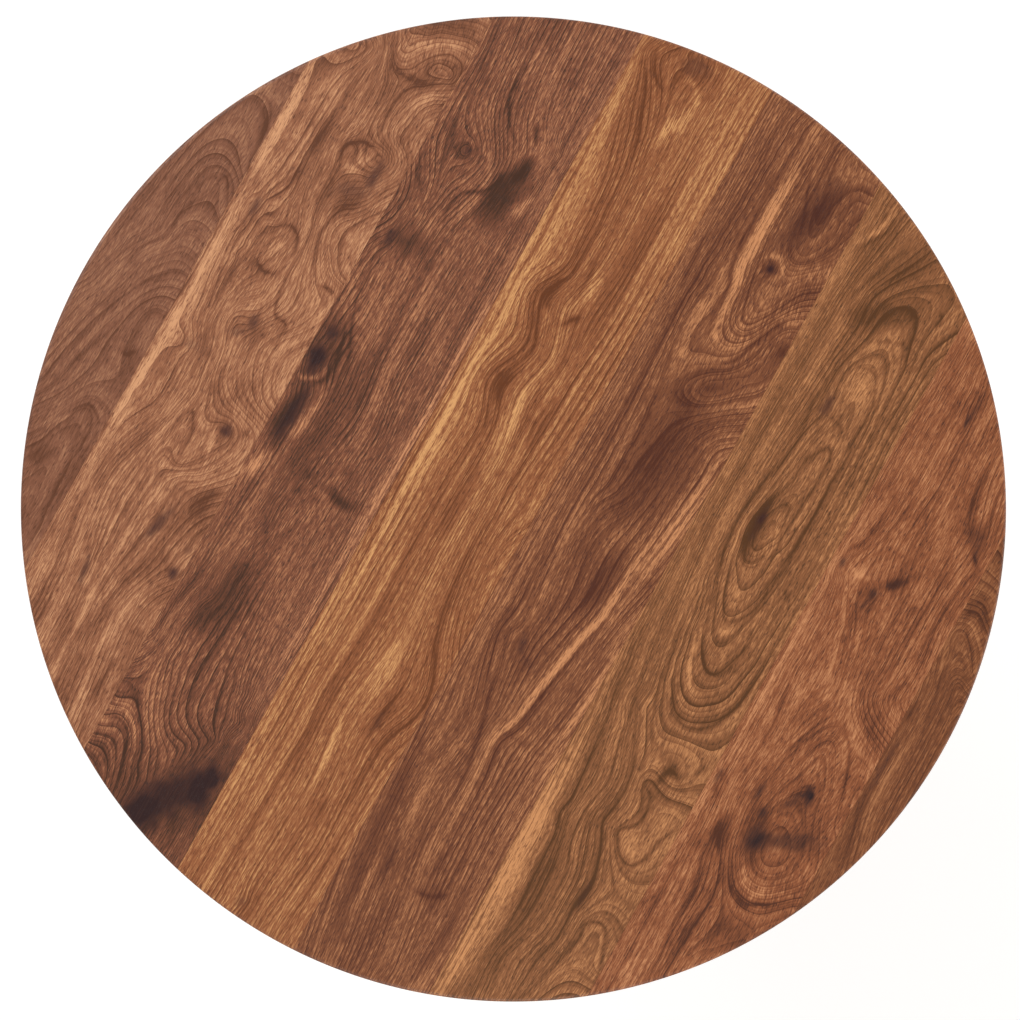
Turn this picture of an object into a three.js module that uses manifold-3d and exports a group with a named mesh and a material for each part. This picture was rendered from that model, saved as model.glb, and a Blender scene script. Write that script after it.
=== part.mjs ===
// A round tilt-top table: a glued-up walnut top on two battens, pivoting on a block that crowns a turned
// column with three dovetailed legs. Millimetres, +Z up, origin on the floor under the middle of the top.
// +X runs along the boards and the pivot line. The pivot is on the -Y side, the front, which the raised top
// faces; the sliding bolt is on the +Y side.

import * as THREE from "three";
import { mergeVertices } from "three/addons/utils/BufferGeometryUtils.js";
import Module from "manifold-3d";

const wasm = await Module();
wasm.setup();

// ---------------------------------------------------------------- driving dimensions, in millimetres

const tableHeight = 720;

// Clearances: glued or seated faces, faces that meet inside a turned group, running fits and pilot holes.
const seatGap = 0.1;
const fitGap = 0.3;
const runningGap = 0.15;
const pilotGap = 0.2;

const overcut = 1; // how far a cutting tool runs past the face that it cuts

const top = {
  diameter: 900,
  thickness: 25,
  rimEase: 3,
  boardWidth: 127.65,
  middleSeamY: -20.35, // the seam nearest the middle; the others follow at one board's width
  leastStrip: 40, // an outer strip narrower than this is sawn in one with its neighbour
  glueLine: 0.1,
  sides: 96,
};

const block = {
  width: 180, // along the pivot line
  thickness: 45,
  pivotFront: 80, // from the column's axis to the pivot line
  strikeBack: 95, // from the column's axis to the face with the strike plate
  topGap: 0.5, // between the block and the top, at rest and while it swings round the block's nose
  noseSteps: 6,
};

const batten = {
  thickness: 28,
  height: 42,
  length: 700,
  endHeight: 16,
  endTaper: 90, // length of the sloped underside at each end
  screwEndMargin: 30, // no screw nearer the end than this
  screwHeadRoom: 6.5, // radius of the counterbore that sinks a screw's head
  woodOverHead: 20, // between the counterbore's ceiling and the top
};

const pivot = {
  pinRadius: 5,
  pinDepth: 38, // length of the pin inside the block
  bushWall: 3,
  headLip: 1, // how far the pin's head stands past the bush all round
  headThickness: 3.5,
  washerLip: 3, // how far the washer stands past the bush all round
  washerThickness: 1.6,
  screwWall: 6, // wood between the bush and the nearest screw's counterbore
  sides: 16,
};

const bolt = {
  radius: 4,
  length: 80,
  drop: 12, // from the underside of the top to the bolt's axis
  clear: 5, // from the block's back face to the tip of the bolt, drawn back
  travel: 17,
  tipCone: 1.5,
  knobStem: 2.5,
  knobCollar: 5.5,
  knobBall: 7,
  knobDrop: 20, // from the bolt's axis to the middle of the ball
  sides: 12,
};

const boltPlate = {
  width: 44,
  length: 84,
  thickness: 2,
  start: 8, // from the block's back face to the plate's near edge
  guideWidth: 20,
  guideLength: 12,
  guideInset: 4, // from the plate's near edge to the first guide
  guideWall: 3.5, // brass below the bolt
  screwX: 16,
  screwInset: 10,
};

const leafSpring = { width: 6, thickness: 0.6, rise: 4.6, rodGap: 0.2, endGap: 2 };

const strike = { width: 36, height: 20, thickness: 2, holeClearance: 0.8, screwX: 13, socketDepth: 22 };

const column = {
  bottom: 96,
  drumRadius: 44,
  drumTop: 212,
  shoulderRadius: 36,
  tenonRadius: 19,
  vasePoints: 9,
  sides: 24,
};

const wedge = { thickness: 3, depth: 32, thinEnd: 0.8 };

const leg = {
  flatHalf: 19, // half the width of the flat on the drum that the leg's shoulder meets
  rootTop: 200,
  sole: 4.3,
  footRadius: 318, // from the column's axis to the middle of the foot
  sectionPoints: 12,
  stations: 16,
  azimuths: { rear: 90, front_left: 210, front_right: 330 },
};

const rootRadius = Math.sqrt(column.drumRadius ** 2 - leg.flatHalf ** 2); // from the axis to a leg's shoulder

// The leg from root to toe: its upper and lower edges as (distance out, height), its half width, and how
// square its section is (2 is an ellipse).
const legShape = [
  { upper: [rootRadius, leg.rootTop], lower: [rootRadius, column.bottom], half: 17, square: 7 },
  { upper: [66, 198], lower: [62, 97], half: 17, square: 6 },
  { upper: [98, 188], lower: [82, 107], half: 16.8, square: 5 },
  { upper: [133, 166], lower: [98, 115], half: 16.5, square: 4 },
  { upper: [172, 127], lower: [138, 91], half: 15.5, square: 3.4 },
  { upper: [212, 85], lower: [188, 56], half: 14, square: 3 },
  { upper: [252, 53], lower: [238, 28], half: 12.5, square: 2.6 },
  { upper: [288, 35.5], lower: [282, 12], half: 14, square: 2.4 },
  { upper: [leg.footRadius + 1, 28], lower: [leg.footRadius - 1, 2], half: 24, square: 2.3 },
  { upper: [leg.footRadius + 22, 24], lower: [leg.footRadius + 21, 2], half: 21, square: 2.3 },
  { upper: [leg.footRadius + 35, 15], lower: [leg.footRadius + 35, 5.5], half: 8, square: 2.2 },
];

const dovetail = { neck: 16, tail: 24, depth: 16, height: 94 };

const brace = {
  thickness: 2.5,
  discRadius: 36,
  armWidth: 22,
  armReach: 57,
  columnScrewRadius: 27,
  legScrewRadius: 54,
};

const glide = { radius: 12, recessRadius: 4.6, recessDepth: 2.4, sides: 16 };

// Fasteners: shank and head radius, head height, and length with the head.
const screws = {
  batten: { shank: 2.2, head: 4.4, headHeight: 3, length: 34 },
  plate: { shank: 1.6, head: 3.2, headHeight: 1.8, length: 16 },
  brace: { shank: 2, head: 4.4, headHeight: 2.2, length: 26 },
  nail: { shank: 1.1, head: 4, headHeight: 1.2, length: 17 },
};
const screwSides = 8;

// ---------------------------------------------------------------- places worked out from the dimensions

const topRadius = top.diameter / 2;
const underside = tableHeight - top.thickness;
const seatZ = underside - seatGap; // upper face of what is screwed up against the top
const blockTop = underside - block.topGap;
const blockBottom = blockTop - block.thickness;
const noseRadius = block.thickness / 2;
const bushRadius = pivot.pinRadius + pivot.bushWall;
const pivotY = -block.pivotFront;
const pivotZ = blockTop - noseRadius;
const pivotSpace = pivot.washerThickness + 2 * runningGap; // between the block's side and the batten
const battenX = block.width / 2 + pivotSpace + batten.thickness / 2;
const battenInner = battenX - batten.thickness / 2;
const battenOuter = battenX + batten.thickness / 2;
const battenFoot = seatZ - batten.height;
const battenScrewZ = seatZ - batten.woodOverHead - seatGap - screws.batten.headHeight;
const plateScrewZ = seatZ - boltPlate.thickness;
const boltZ = underside - bolt.drop;
const boltTip = block.strikeBack + bolt.clear;
const plateNear = block.strikeBack + boltPlate.start;
const plateFar = plateNear + boltPlate.length;
const nearGuide = plateNear + boltPlate.guideInset;
const nearGuideEnd = nearGuide + boltPlate.guideLength;
const farGuide = nearGuideEnd + bolt.travel + 2 * (bolt.knobCollar + fitGap);
const knobY = farGuide - bolt.knobCollar - fitGap;
const strikeHole = bolt.radius + strike.holeClearance;
const guideFoot = boltZ - bolt.radius - boltPlate.guideWall;
const columnTop = blockTop - seatGap;
const columnShoulder = blockBottom - seatGap;
const flatRadius = rootRadius - fitGap; // from the column's axis to the flats that the legs meet
const glideTop = leg.sole - fitGap;
const legTurns = Object.entries(leg.azimuths);

const inRadians = (degrees) => (degrees * Math.PI) / 180;

// ---------------------------------------------------------------- materials

const finish = (color, roughness, metalness) =>
  new THREE.MeshStandardMaterial({ color, roughness, metalness });
const boardColours = [0x87604a, 0x976349, 0x82533d, 0x9c6343, 0x835036, 0x8f5f3f, 0x8f593a, 0x7d4d32];
const walnut = finish(0x7a4a30, 0.45, 0);
const paleWood = finish(0xb98d5e, 0.5, 0);
const brass = finish(0xb08d4a, 0.3, 1);
const blackIron = finish(0x2b2a29, 0.55, 0.8);
const steel = finish(0x8d8f92, 0.35, 1);
const nylon = finish(0x3a3632, 0.6, 0);

// ---------------------------------------------------------------- solids

function solidOf(geometry) {
  const loose = geometry.index ? geometry.toNonIndexed() : geometry;
  const bare = new THREE.BufferGeometry().setAttribute("position", loose.getAttribute("position"));
  const merged = mergeVertices(bare, 1e-4);
  const mesh = new wasm.Mesh({
    numProp: 3,
    vertProperties: merged.attributes.position.array,
    triVerts: new Uint32Array(merged.index.array),
  });
  return new wasm.Manifold(mesh);
}

function geometryOf(solid) {
  const mesh = solid.getMesh();
  const geometry = new THREE.BufferGeometry()
    .setAttribute("position", new THREE.BufferAttribute(mesh.vertProperties, 3))
    .setIndex(new THREE.BufferAttribute(mesh.triVerts, 1));
  geometry.computeVertexNormals();
  return geometry;
}

const cut = (solid, tools) => tools.reduce((left, tool) => left.subtract(tool), solid);
const join = (solids) => solids.reduce((sum, solid) => sum.add(solid));

function boxOf([x0, x1], [y0, y1], [z0, z1]) {
  const box = new THREE.BoxGeometry(x1 - x0, y1 - y0, z1 - z0);
  return solidOf(box.translate((x0 + x1) / 2, (y0 + y1) / 2, (z0 + z1) / 2));
}

// An outline in the YZ plane, given as [y, z] points, extruded along X from x0 to x1.
function slabAcross(outline, x0, x1) {
  const shape = new THREE.Shape(outline.map(([y, z]) => new THREE.Vector2(y, z)));
  const slab = new THREE.ExtrudeGeometry(shape, { depth: x1 - x0, bevelEnabled: false });
  const turnYZX = new THREE.Matrix4().set(0, 0, 1, x0, 1, 0, 0, 0, 0, 1, 0, 0, 0, 0, 0, 1);
  return solidOf(slab.applyMatrix4(turnYZX));
}

const axisTurns = {
  x: (geometry) => geometry.rotateY(Math.PI / 2),
  y: (geometry) => geometry.rotateX(-Math.PI / 2),
  z: (geometry) => geometry,
};

// A turned shape about the line through `at` along +X, +Y or +Z. Its profile is [radius, distance along it].
function turned(axis, profile, sides, at = [0, 0, 0]) {
  const points = profile.map(([radius, along]) => new THREE.Vector2(radius, along));
  const lathe = new THREE.LatheGeometry(points, sides).rotateX(Math.PI / 2);
  return solidOf(axisTurns[axis](lathe).translate(...at));
}

function rod(axis, radius, from, to, sides, at) {
  return turned(axis, [[0, from], [radius, from], [radius, to], [0, to]], sides, at);
}

function ring(axis, outer, inner, from, to, sides, at) {
  return turned(axis, [[inner, from], [outer, from], [outer, to], [inner, to], [inner, from]], sides, at);
}

// The corner radius of a many-sided bore whose flats stay clear of a shaft that turns in it.
const boreAround = (shaftRadius, sides) => (shaftRadius + runningGap) / Math.cos(Math.PI / sides);

// A screw or nail pointing along an axis, with its head at `at`. A countersunk head is a cone.
function fastener(axis, { shank, head, headHeight, length }, countersunk, at = [0, 0, 0]) {
  const headProfile = countersunk
    ? [[0, 0], [head, 0], [shank, headHeight]]
    : [[0, 0], [head, 0], [head, headHeight], [shank, headHeight]];
  return turned(axis, [...headProfile, [shank, length - 2 * shank], [0, length]], screwSides, at);
}

function pilotHole(axis, { shank }, from, to, at) {
  return rod(axis, shank + pilotGap, from, to, screwSides, at);
}

// The hole for a countersunk screw through a plate: a cone from its outer face, then the shank's clearance.
function countersink(axis, { shank, head, headHeight }, plateThickness, at) {
  const wide = head + pilotGap;
  const narrow = shank + pilotGap;
  const profile = [
    [0, -overcut],
    [wide, -overcut],
    [wide, 0],
    [narrow, headHeight],
    [narrow, plateThickness + overcut],
    [0, plateThickness + overcut],
  ];
  return turned(axis, profile, screwSides, at);
}

// ---------------------------------------------------------------- the top

// The boards' edges from +Y to -Y: the rim, the glue lines and the rim again.
function boardEdges() {
  const reach = topRadius - top.leastStrip;
  const first = Math.floor((reach - top.middleSeamY) / top.boardWidth);
  const last = Math.ceil((-reach - top.middleSeamY) / top.boardWidth);
  const lines = [];
  for (let k = first; k >= last; k--) lines.push(top.middleSeamY + k * top.boardWidth);
  return [topRadius + overcut, ...lines, -topRadius - overcut];
}

const edges = boardEdges();
const boards = edges.slice(1).map((near, i) => ({ near, far: edges[i] }));

// A screw in the middle of every board that a batten crosses, kept off the batten's ends and off the pivot.
function battenScrewLines() {
  const reach = batten.length / 2;
  const limit = reach - batten.screwEndMargin;
  const clearance = bushRadius + pivot.screwWall + batten.screwHeadRoom;
  const lines = [];
  for (const { near, far } of boards) {
    const middle = Math.min(limit, Math.max(-limit, (near + far) / 2));
    const offPivot = Math.abs(middle - pivotY) < clearance ? pivotY - clearance : middle;
    if (middle > near + top.leastStrip / 2 && middle < far - top.leastStrip / 2) lines.push(offPivot);
  }
  return lines;
}

const battenScrewSpots = [["left", -battenX], ["right", battenX]].flatMap(([side, x]) =>
  battenScrewLines().map((y, i) => ({ name: `batten_screw_${side}_${i + 1}`, x, y })),
);

const plateScrewSpots = [-boltPlate.screwX, boltPlate.screwX].flatMap((x) =>
  [plateNear + boltPlate.screwInset, plateFar - boltPlate.screwInset].map((y) => ({ x, y })),
);

function topPilots() {
  const hole = ({ x, y }, screw, headZ) =>
    pilotHole("z", screw, underside - overcut, headZ + screw.length + overcut, [x, y, 0]);
  return [
    ...battenScrewSpots.map((spot) => hole(spot, screws.batten, battenScrewZ)),
    ...plateScrewSpots.map((spot) => hole(spot, screws.plate, plateScrewZ)),
  ];
}

function makeBoards(add) {
  const rim = topRadius - top.rimEase;
  const profile = [
    [0, underside],
    [rim, underside],
    [topRadius, underside + top.rimEase],
    [topRadius, tableHeight - top.rimEase],
    [rim, tableHeight],
    [0, tableHeight],
  ];
  const disc = cut(turned("z", profile, top.sides), topPilots());
  const half = top.glueLine / 2;
  const across = [-topRadius - overcut, topRadius + overcut];
  const through = [underside - overcut, tableHeight + overcut];
  boards.forEach(({ near, far }, i) => {
    const strip = boxOf(across, [near + half, far - half], through);
    const colour = boardColours[i % boardColours.length];
    add(`top_board_${i + 1}`, disc.intersect(strip), finish(colour, 0.42, 0));
  });
}

// ---------------------------------------------------------------- battens and pivots

function makeBattens(add) {
  const half = batten.length / 2;
  const outline = [
    [-half, seatZ],
    [-half, seatZ - batten.endHeight],
    [-half + batten.endTaper, battenFoot],
    [half - batten.endTaper, battenFoot],
    [half, seatZ - batten.endHeight],
    [half, seatZ],
  ];
  const ceiling = seatZ - batten.woodOverHead;
  for (const [side, x] of [["left", -battenX], ["right", battenX]]) {
    const bar = slabAcross(outline, x - batten.thickness / 2, x + batten.thickness / 2);
    const holes = battenScrewSpots
      .filter((spot) => spot.x === x)
      .flatMap(({ y }) => [
        rod("z", batten.screwHeadRoom, battenFoot - overcut, ceiling, 10, [x, y, 0]),
        pilotHole("z", screws.batten, battenFoot, underside + overcut, [x, y, 0]),
      ]);
    const reach = batten.thickness / 2 + overcut;
    const bore = rod("x", bushRadius + pilotGap, -reach, reach, pivot.sides, [x, pivotY, pivotZ]);
    add(`batten_${side}`, cut(bar, [...holes, bore]), walnut);
    makePivot(add, side, Math.sign(x));
  }
  const body = fastener("z", screws.batten, false);
  battenScrewSpots.forEach(({ name, x, y }) => add(name, body, steel, [x, y, battenScrewZ]));
}

// The pin is fixed in the block with its head outside the batten, and the bush in the batten turns on it.
function makePivot(add, side, sign) {
  const at = [0, pivotY, pivotZ];
  const { pinRadius, headThickness, sides } = pivot;
  const headRadius = bushRadius + pivot.headLip;
  const pinEnd = block.width / 2 - pivot.pinDepth;
  const neck = battenOuter + runningGap;
  const crown = neck + headThickness;
  const profile = [
    [0, pinEnd],
    [pinRadius, pinEnd],
    [pinRadius, neck],
    [headRadius, neck],
    [headRadius, neck + headThickness * 0.6],
    [headRadius * 0.8, crown],
    [0, crown],
  ];
  const pin = turned("x", profile, sides, at);
  const bush = ring("x", bushRadius, boreAround(pinRadius, sides), battenInner, battenOuter, sides, at);
  const washerStart = block.width / 2 + runningGap;
  const washerEnd = washerStart + pivot.washerThickness;
  const washerRadius = bushRadius + pivot.washerLip;
  const washer = ring("x", washerRadius, pinRadius + fitGap, washerStart, washerEnd, sides, at);
  const onSide = (solid) => (sign > 0 ? solid : solid.mirror([1, 0, 0]));
  add(`pivot_pin_${side}`, onSide(pin), brass);
  add(`pivot_bush_${side}`, onSide(bush), brass);
  add(`pivot_washer_${side}`, onSide(washer), brass);
}

// ---------------------------------------------------------------- the sliding bolt under the top

function makeBolt(add) {
  const { width, thickness, guideWidth, guideLength } = boltPlate;
  const axisAt = [0, 0, boltZ];
  const plate = boxOf([-width / 2, width / 2], [plateNear, plateFar], [seatZ - thickness, seatZ]);
  const guides = [nearGuide, farGuide].map((start) =>
    boxOf(
      [-guideWidth / 2, guideWidth / 2],
      [start, start + guideLength],
      [guideFoot, seatZ - thickness / 2],
    ),
  );
  const passageRadius = boreAround(bolt.radius, bolt.sides);
  const passage = rod("y", passageRadius, plateNear - overcut, plateFar + overcut, bolt.sides, axisAt);
  const sinks = plateScrewSpots.map(({ x, y }) =>
    countersink("z", screws.plate, thickness, [x, y, plateScrewZ]),
  );
  add("bolt_plate", cut(join([plate, ...guides]), [passage, ...sinks]), brass);

  const screw = fastener("z", screws.plate, true);
  plateScrewSpots.forEach(({ x, y }, i) => {
    add(`bolt_plate_screw_${i + 1}`, screw, brass, [x, y, plateScrewZ]);
  });

  const profile = [
    [0, boltTip],
    [bolt.radius - bolt.tipCone, boltTip],
    [bolt.radius, boltTip + bolt.tipCone],
    [bolt.radius, boltTip + bolt.length],
    [0, boltTip + bolt.length],
  ];
  const stemHole = rod("z", bolt.knobStem + fitGap, -bolt.radius - overcut, 0, 10, [0, knobY, boltZ]);
  add("bolt_rod", turned("y", profile, bolt.sides, axisAt).subtract(stemHole), brass);
  add("bolt_knob", knob(), brass);
  add("bolt_leaf_spring", springStrip(seatZ - thickness), brass);
}

// The knob's stem is screwed up into the bolt, and its collar stops against the guides at each end
// of the travel.
function knob() {
  const { knobStem, knobCollar, knobBall, knobDrop, radius } = bolt;
  const ballSteps = 5;
  const profile = [[0, -knobDrop - knobBall]];
  for (let step = 1; step <= ballSteps; step++) {
    const angle = -Math.PI / 2 + (step / ballSteps) * Math.PI * 0.82;
    profile.push([knobBall * Math.cos(angle), -knobDrop + knobBall * Math.sin(angle)]);
  }
  const collarTop = -radius - fitGap;
  profile.push(
    [knobStem, collarTop - 2.4],
    [knobCollar, collarTop - 2],
    [knobCollar, collarTop],
    [knobStem, collarTop],
    [knobStem, -fitGap],
    [0, -fitGap],
  );
  return turned("z", profile, 10, [0, knobY, boltZ]);
}

// A bowed strip between the plate and the bolt, which holds the bolt by friction wherever it is put.
function springStrip(plateFace) {
  const { width, thickness, rise, rodGap, endGap } = leafSpring;
  const from = nearGuideEnd + endGap;
  const to = farGuide - endGap;
  const crown = boltZ + bolt.radius + rodGap;
  const ends = Math.min(crown + rise, plateFace - fitGap) - thickness;
  const steps = 6;
  const lower = [];
  for (let step = 0; step <= steps; step++) {
    const share = step / steps;
    lower.push([from + (to - from) * share, crown + (ends - crown) * (2 * share - 1) ** 2]);
  }
  const upper = lower.map(([y, z]) => [y, z + thickness]).reverse();
  return slabAcross([...lower, ...upper], -width / 2, width / 2);
}

// ---------------------------------------------------------------- block and strike plate

// The upper edge in front of the pivot is rounded about the pivot line so that the top can swing past it. The
// lower edge stays square: it stops the top when it stands upright.
function makeBlock(add) {
  const nose = [];
  for (let step = 0; step <= block.noseSteps; step++) {
    const angle = ((1 + step / block.noseSteps) * Math.PI) / 2;
    nose.push([pivotY + noseRadius * Math.cos(angle), pivotZ + noseRadius * Math.sin(angle)]);
  }
  const back = block.strikeBack;
  const outline = [[back, blockBottom], [back, blockTop], ...nose, [pivotY - noseRadius, blockBottom]];
  const side = block.width / 2;
  const slab = slabAcross(outline, -side, side);
  const pinHole = rod(
    "x",
    pivot.pinRadius + fitGap,
    side - pivot.pinDepth - overcut,
    side + overcut,
    pivot.sides,
    [0, pivotY, pivotZ],
  );
  const tenonHole = rod(
    "z",
    column.tenonRadius + fitGap,
    blockBottom - overcut,
    blockTop + overcut,
    column.sides,
  );
  const socketRadius = strikeHole + fitGap;
  const socket = rod("y", socketRadius, back - strike.socketDepth, back + overcut, bolt.sides, [0, 0, boltZ]);
  const pilots = [-strike.screwX, strike.screwX].map((x) =>
    pilotHole("y", screws.plate, back - screws.plate.length, back + overcut, [x, 0, boltZ]),
  );
  add("pivot_block", cut(slab, [tenonHole, socket, ...pilots, pinHole, pinHole.mirror([1, 0, 0])]), walnut);
  makeStrike(add, back + seatGap);
}

function makeStrike(add, face) {
  const { width, height, thickness, screwX } = strike;
  const outer = face + thickness;
  const plate = boxOf([-width / 2, width / 2], [face, outer], [boltZ - height / 2, boltZ + height / 2]);
  const hole = rod("y", strikeHole, face - overcut, outer + overcut, bolt.sides, [0, 0, boltZ]);
  const spots = [-screwX, screwX];
  const facing = (solid, x) => solid.rotate([180, 0, 0]).translate([x, outer, boltZ]);
  const sinks = spots.map((x) => facing(countersink("y", screws.plate, thickness), x));
  add("strike_plate", cut(plate, [hole, ...sinks]), brass);
  const screw = fastener("y", screws.plate, true);
  spots.forEach((x, i) => add(`strike_screw_${i + 1}`, facing(screw, x), brass));
}

// ---------------------------------------------------------------- column

// The turned outline from the floor up: drum for the legs, rings, a long vase that narrows to the neck, a
// collar, a flared cap under the block, and the tenon.
function columnProfile() {
  const { bottom, drumRadius, drumTop, shoulderRadius, tenonRadius, vasePoints } = column;
  const vaseFrom = drumTop + 18;
  const neckAt = columnShoulder - 62;
  const vaseShape = [[33, 0], [44, 0.07], [48.5, 0.16], [45.5, 0.3], [35.5, 0.52], [27.5, 0.75], [24, 1]];
  const swell = new THREE.CatmullRomCurve3(
    vaseShape.map(([radius, share]) => new THREE.Vector3(radius, vaseFrom + (neckAt - vaseFrom) * share, 0)),
  );
  const vase = swell.getPoints(vasePoints).map((p) => [p.x, p.y]);
  return [
    [0, bottom],
    [drumRadius, bottom],
    [drumRadius, drumTop - 3],
    [drumRadius - 3, drumTop],
    [34, drumTop],
    [34, drumTop + 4],
    [38, drumTop + 6],
    [38, drumTop + 13],
    [33, drumTop + 15],
    ...vase,
    [24, neckAt + 6],
    [31, neckAt + 9],
    [31, neckAt + 13],
    [25, neckAt + 17],
    [24.5, neckAt + 26],
    [27, neckAt + 38],
    [shoulderRadius, neckAt + 54],
    [shoulderRadius, columnShoulder],
    [tenonRadius, columnShoulder],
    [tenonRadius, columnTop],
    [0, columnTop],
  ];
}

// A vertical dovetail towards +X, in plan from its wide end nearer the axis, through its neck at the
// shoulder, to `reach` beyond the shoulder. Growing it by a clearance gives the socket that it slides
// up into.
function dovetailPrism(grow, from, to, reach) {
  const { neck, tail, depth } = dovetail;
  const slope = (tail - neck) / 2 / depth;
  const halfWidth = (fromShoulder) => neck / 2 - slope * fromShoulder + grow;
  const inner = -depth - grow;
  const plan = new THREE.Shape([
    new THREE.Vector2(rootRadius + inner, -halfWidth(inner)),
    new THREE.Vector2(rootRadius + reach, -halfWidth(reach)),
    new THREE.Vector2(rootRadius + reach, halfWidth(reach)),
    new THREE.Vector2(rootRadius + inner, halfWidth(inner)),
  ]);
  const prism = new THREE.ExtrudeGeometry(plan, { depth: to - from, bevelEnabled: false });
  return solidOf(prism.translate(0, 0, from));
}

function makeColumn(add) {
  const { bottom, drumRadius, sides } = column;
  const under = bottom - overcut;
  const pocket = dovetailPrism(fitGap, under, bottom + dovetail.height + fitGap, overcut);
  const flat = boxOf(
    [flatRadius, drumRadius * 1.2],
    [-drumRadius, drumRadius],
    [under, leg.rootTop + fitGap],
  );
  const pilotPlace = [-brace.columnScrewRadius, 0, 0];
  const pilot = pilotHole("z", screws.brace, under, bottom + screws.brace.length, pilotPlace);
  const seat = join([pocket, flat]);
  const cuts = legTurns.flatMap(([, degrees]) => [seat, pilot].map((tool) => tool.rotate([0, 0, degrees])));
  const slotHalf = wedge.thickness / 2 + fitGap;
  const slotReach = column.tenonRadius + overcut;
  const slotFloor = columnTop - wedge.depth - fitGap;
  const slot = boxOf([-slotReach, slotReach], [-slotHalf, slotHalf], [slotFloor, columnTop + overcut]);
  add("column", cut(turned("z", columnProfile(), sides), [...cuts, slot]), walnut);

  const wedgeChord = Math.sqrt(column.tenonRadius ** 2 - (wedge.thickness / 2) ** 2);
  const wedgeHalf = wedgeChord * Math.cos(Math.PI / sides);
  const key = [
    [-wedge.thinEnd / 2, columnTop - wedge.depth],
    [wedge.thinEnd / 2, columnTop - wedge.depth],
    [wedge.thickness / 2, columnTop],
    [-wedge.thickness / 2, columnTop],
  ];
  add("tenon_wedge", slabAcross(key, -wedgeHalf, wedgeHalf), paleWood);
}

// ---------------------------------------------------------------- legs, brace, glides

// The leg towards +X: sections between matching points of its upper and lower edges, closed at root and toe.
function legBody() {
  const curveOf = (pick) => new THREE.CatmullRomCurve3(legShape.map(pick), false, "centripetal");
  const upper = curveOf(({ upper: [r, z], half }) => new THREE.Vector3(r, z, half));
  const lower = curveOf(({ lower: [r, z], square }) => new THREE.Vector3(r, z, square));
  const { stations, sectionPoints: around, sole } = leg;
  const corners = [];
  for (let s = 0; s <= stations; s++) {
    const u = upper.getPoint(s / stations);
    const l = lower.getPoint(s / stations);
    for (let k = 0; k < around; k++) {
      const angle = ((k + 0.5) / around) * 2 * Math.PI;
      const bend = (value) => Math.sign(value) * Math.abs(value) ** (2 / l.z);
      const share = (1 + bend(Math.sin(angle))) / 2;
      const z = Math.max(sole, l.y + (u.y - l.y) * share);
      corners.push(new THREE.Vector3(l.x + (u.x - l.x) * share, u.z * bend(Math.cos(angle)), z));
    }
  }
  const at = (s, k) => corners[s * around + (k % around)];
  const triangles = [];
  for (let s = 0; s < stations; s++) {
    for (let k = 0; k < around; k++) {
      triangles.push(at(s, k), at(s + 1, k + 1), at(s + 1, k));
      triangles.push(at(s, k), at(s, k + 1), at(s + 1, k + 1));
    }
  }
  for (let k = 1; k < around - 1; k++) {
    triangles.push(at(0, 0), at(0, k + 1), at(0, k));
    triangles.push(at(stations, 0), at(stations, k), at(stations, k + 1));
  }
  return solidOf(new THREE.BufferGeometry().setFromPoints(triangles));
}

function makeLegs(add) {
  const bottom = column.bottom;
  const { brace: screw, nail } = screws;
  const tail = dovetailPrism(0, bottom, bottom + dovetail.height, 3);
  const screwPlace = [brace.legScrewRadius, 0, 0];
  const screwHole = pilotHole("z", screw, bottom - overcut, bottom + screw.length, screwPlace);
  const nailTop = glide.recessDepth - nail.headHeight + nail.length + overcut;
  const nailHole = pilotHole("z", nail, 0, nailTop, [leg.footRadius, 0, 0]);
  const body = cut(join([legBody(), tail]), [screwHole, nailHole]);
  const disc = ring("z", glide.radius, nail.shank + pilotGap, 0, glideTop, glide.sides);
  const recess = rod("z", glide.recessRadius, -overcut, glide.recessDepth, screwSides);
  const glideBody = disc.subtract(recess);
  const nailBody = fastener("z", nail, false);
  const nailZ = glide.recessDepth - nail.headHeight - seatGap;
  for (const [side, degrees] of legTurns) {
    const turn = inRadians(degrees);
    const foot = [leg.footRadius * Math.cos(turn), leg.footRadius * Math.sin(turn)];
    add(`leg_${side}`, body, walnut, [0, 0, 0], turn);
    add(`glide_${side}`, glideBody, nylon, [...foot, 0], turn);
    add(`glide_nail_${side}`, nailBody, steel, [...foot, nailZ], turn);
  }
}

function makeBrace(add) {
  const { thickness, discRadius, armWidth, armReach, columnScrewRadius, legScrewRadius } = brace;
  const roof = column.bottom - fitGap;
  const floor = roof - thickness;
  const disc = rod("z", discRadius, floor, roof, column.sides);
  const arm = boxOf([0, armReach], [-armWidth / 2, armWidth / 2], [floor, roof]);
  const armEnd = rod("z", armWidth / 2, floor, roof, 12, [armReach, 0, 0]);
  const hole = (x) => pilotHole("z", screws.brace, floor - overcut, roof + overcut, [x, 0, 0]);
  const turns = Object.values(leg.azimuths);
  const around = (solid) => turns.map((degrees) => solid.rotate([0, 0, degrees]));
  const star = join([disc, ...around(join([arm, armEnd]))]);
  const holes = [...around(hole(legScrewRadius)), ...around(hole(-columnScrewRadius))];
  add("brace_plate", cut(star, holes), blackIron);
  const body = fastener("z", screws.brace, false);
  const headZ = floor - screws.brace.headHeight - seatGap;
  for (const [side, degrees] of legTurns) {
    const turn = inRadians(degrees);
    for (const [into, radius] of [["leg", legScrewRadius], ["column", -columnScrewRadius]]) {
      const spot = [radius * Math.cos(turn), radius * Math.sin(turn), headZ];
      add(`brace_screw_${into}_${side}`, body, steel, spot, turn);
    }
  }
}

// ---------------------------------------------------------------- the table

const table = new THREE.Group();

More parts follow.
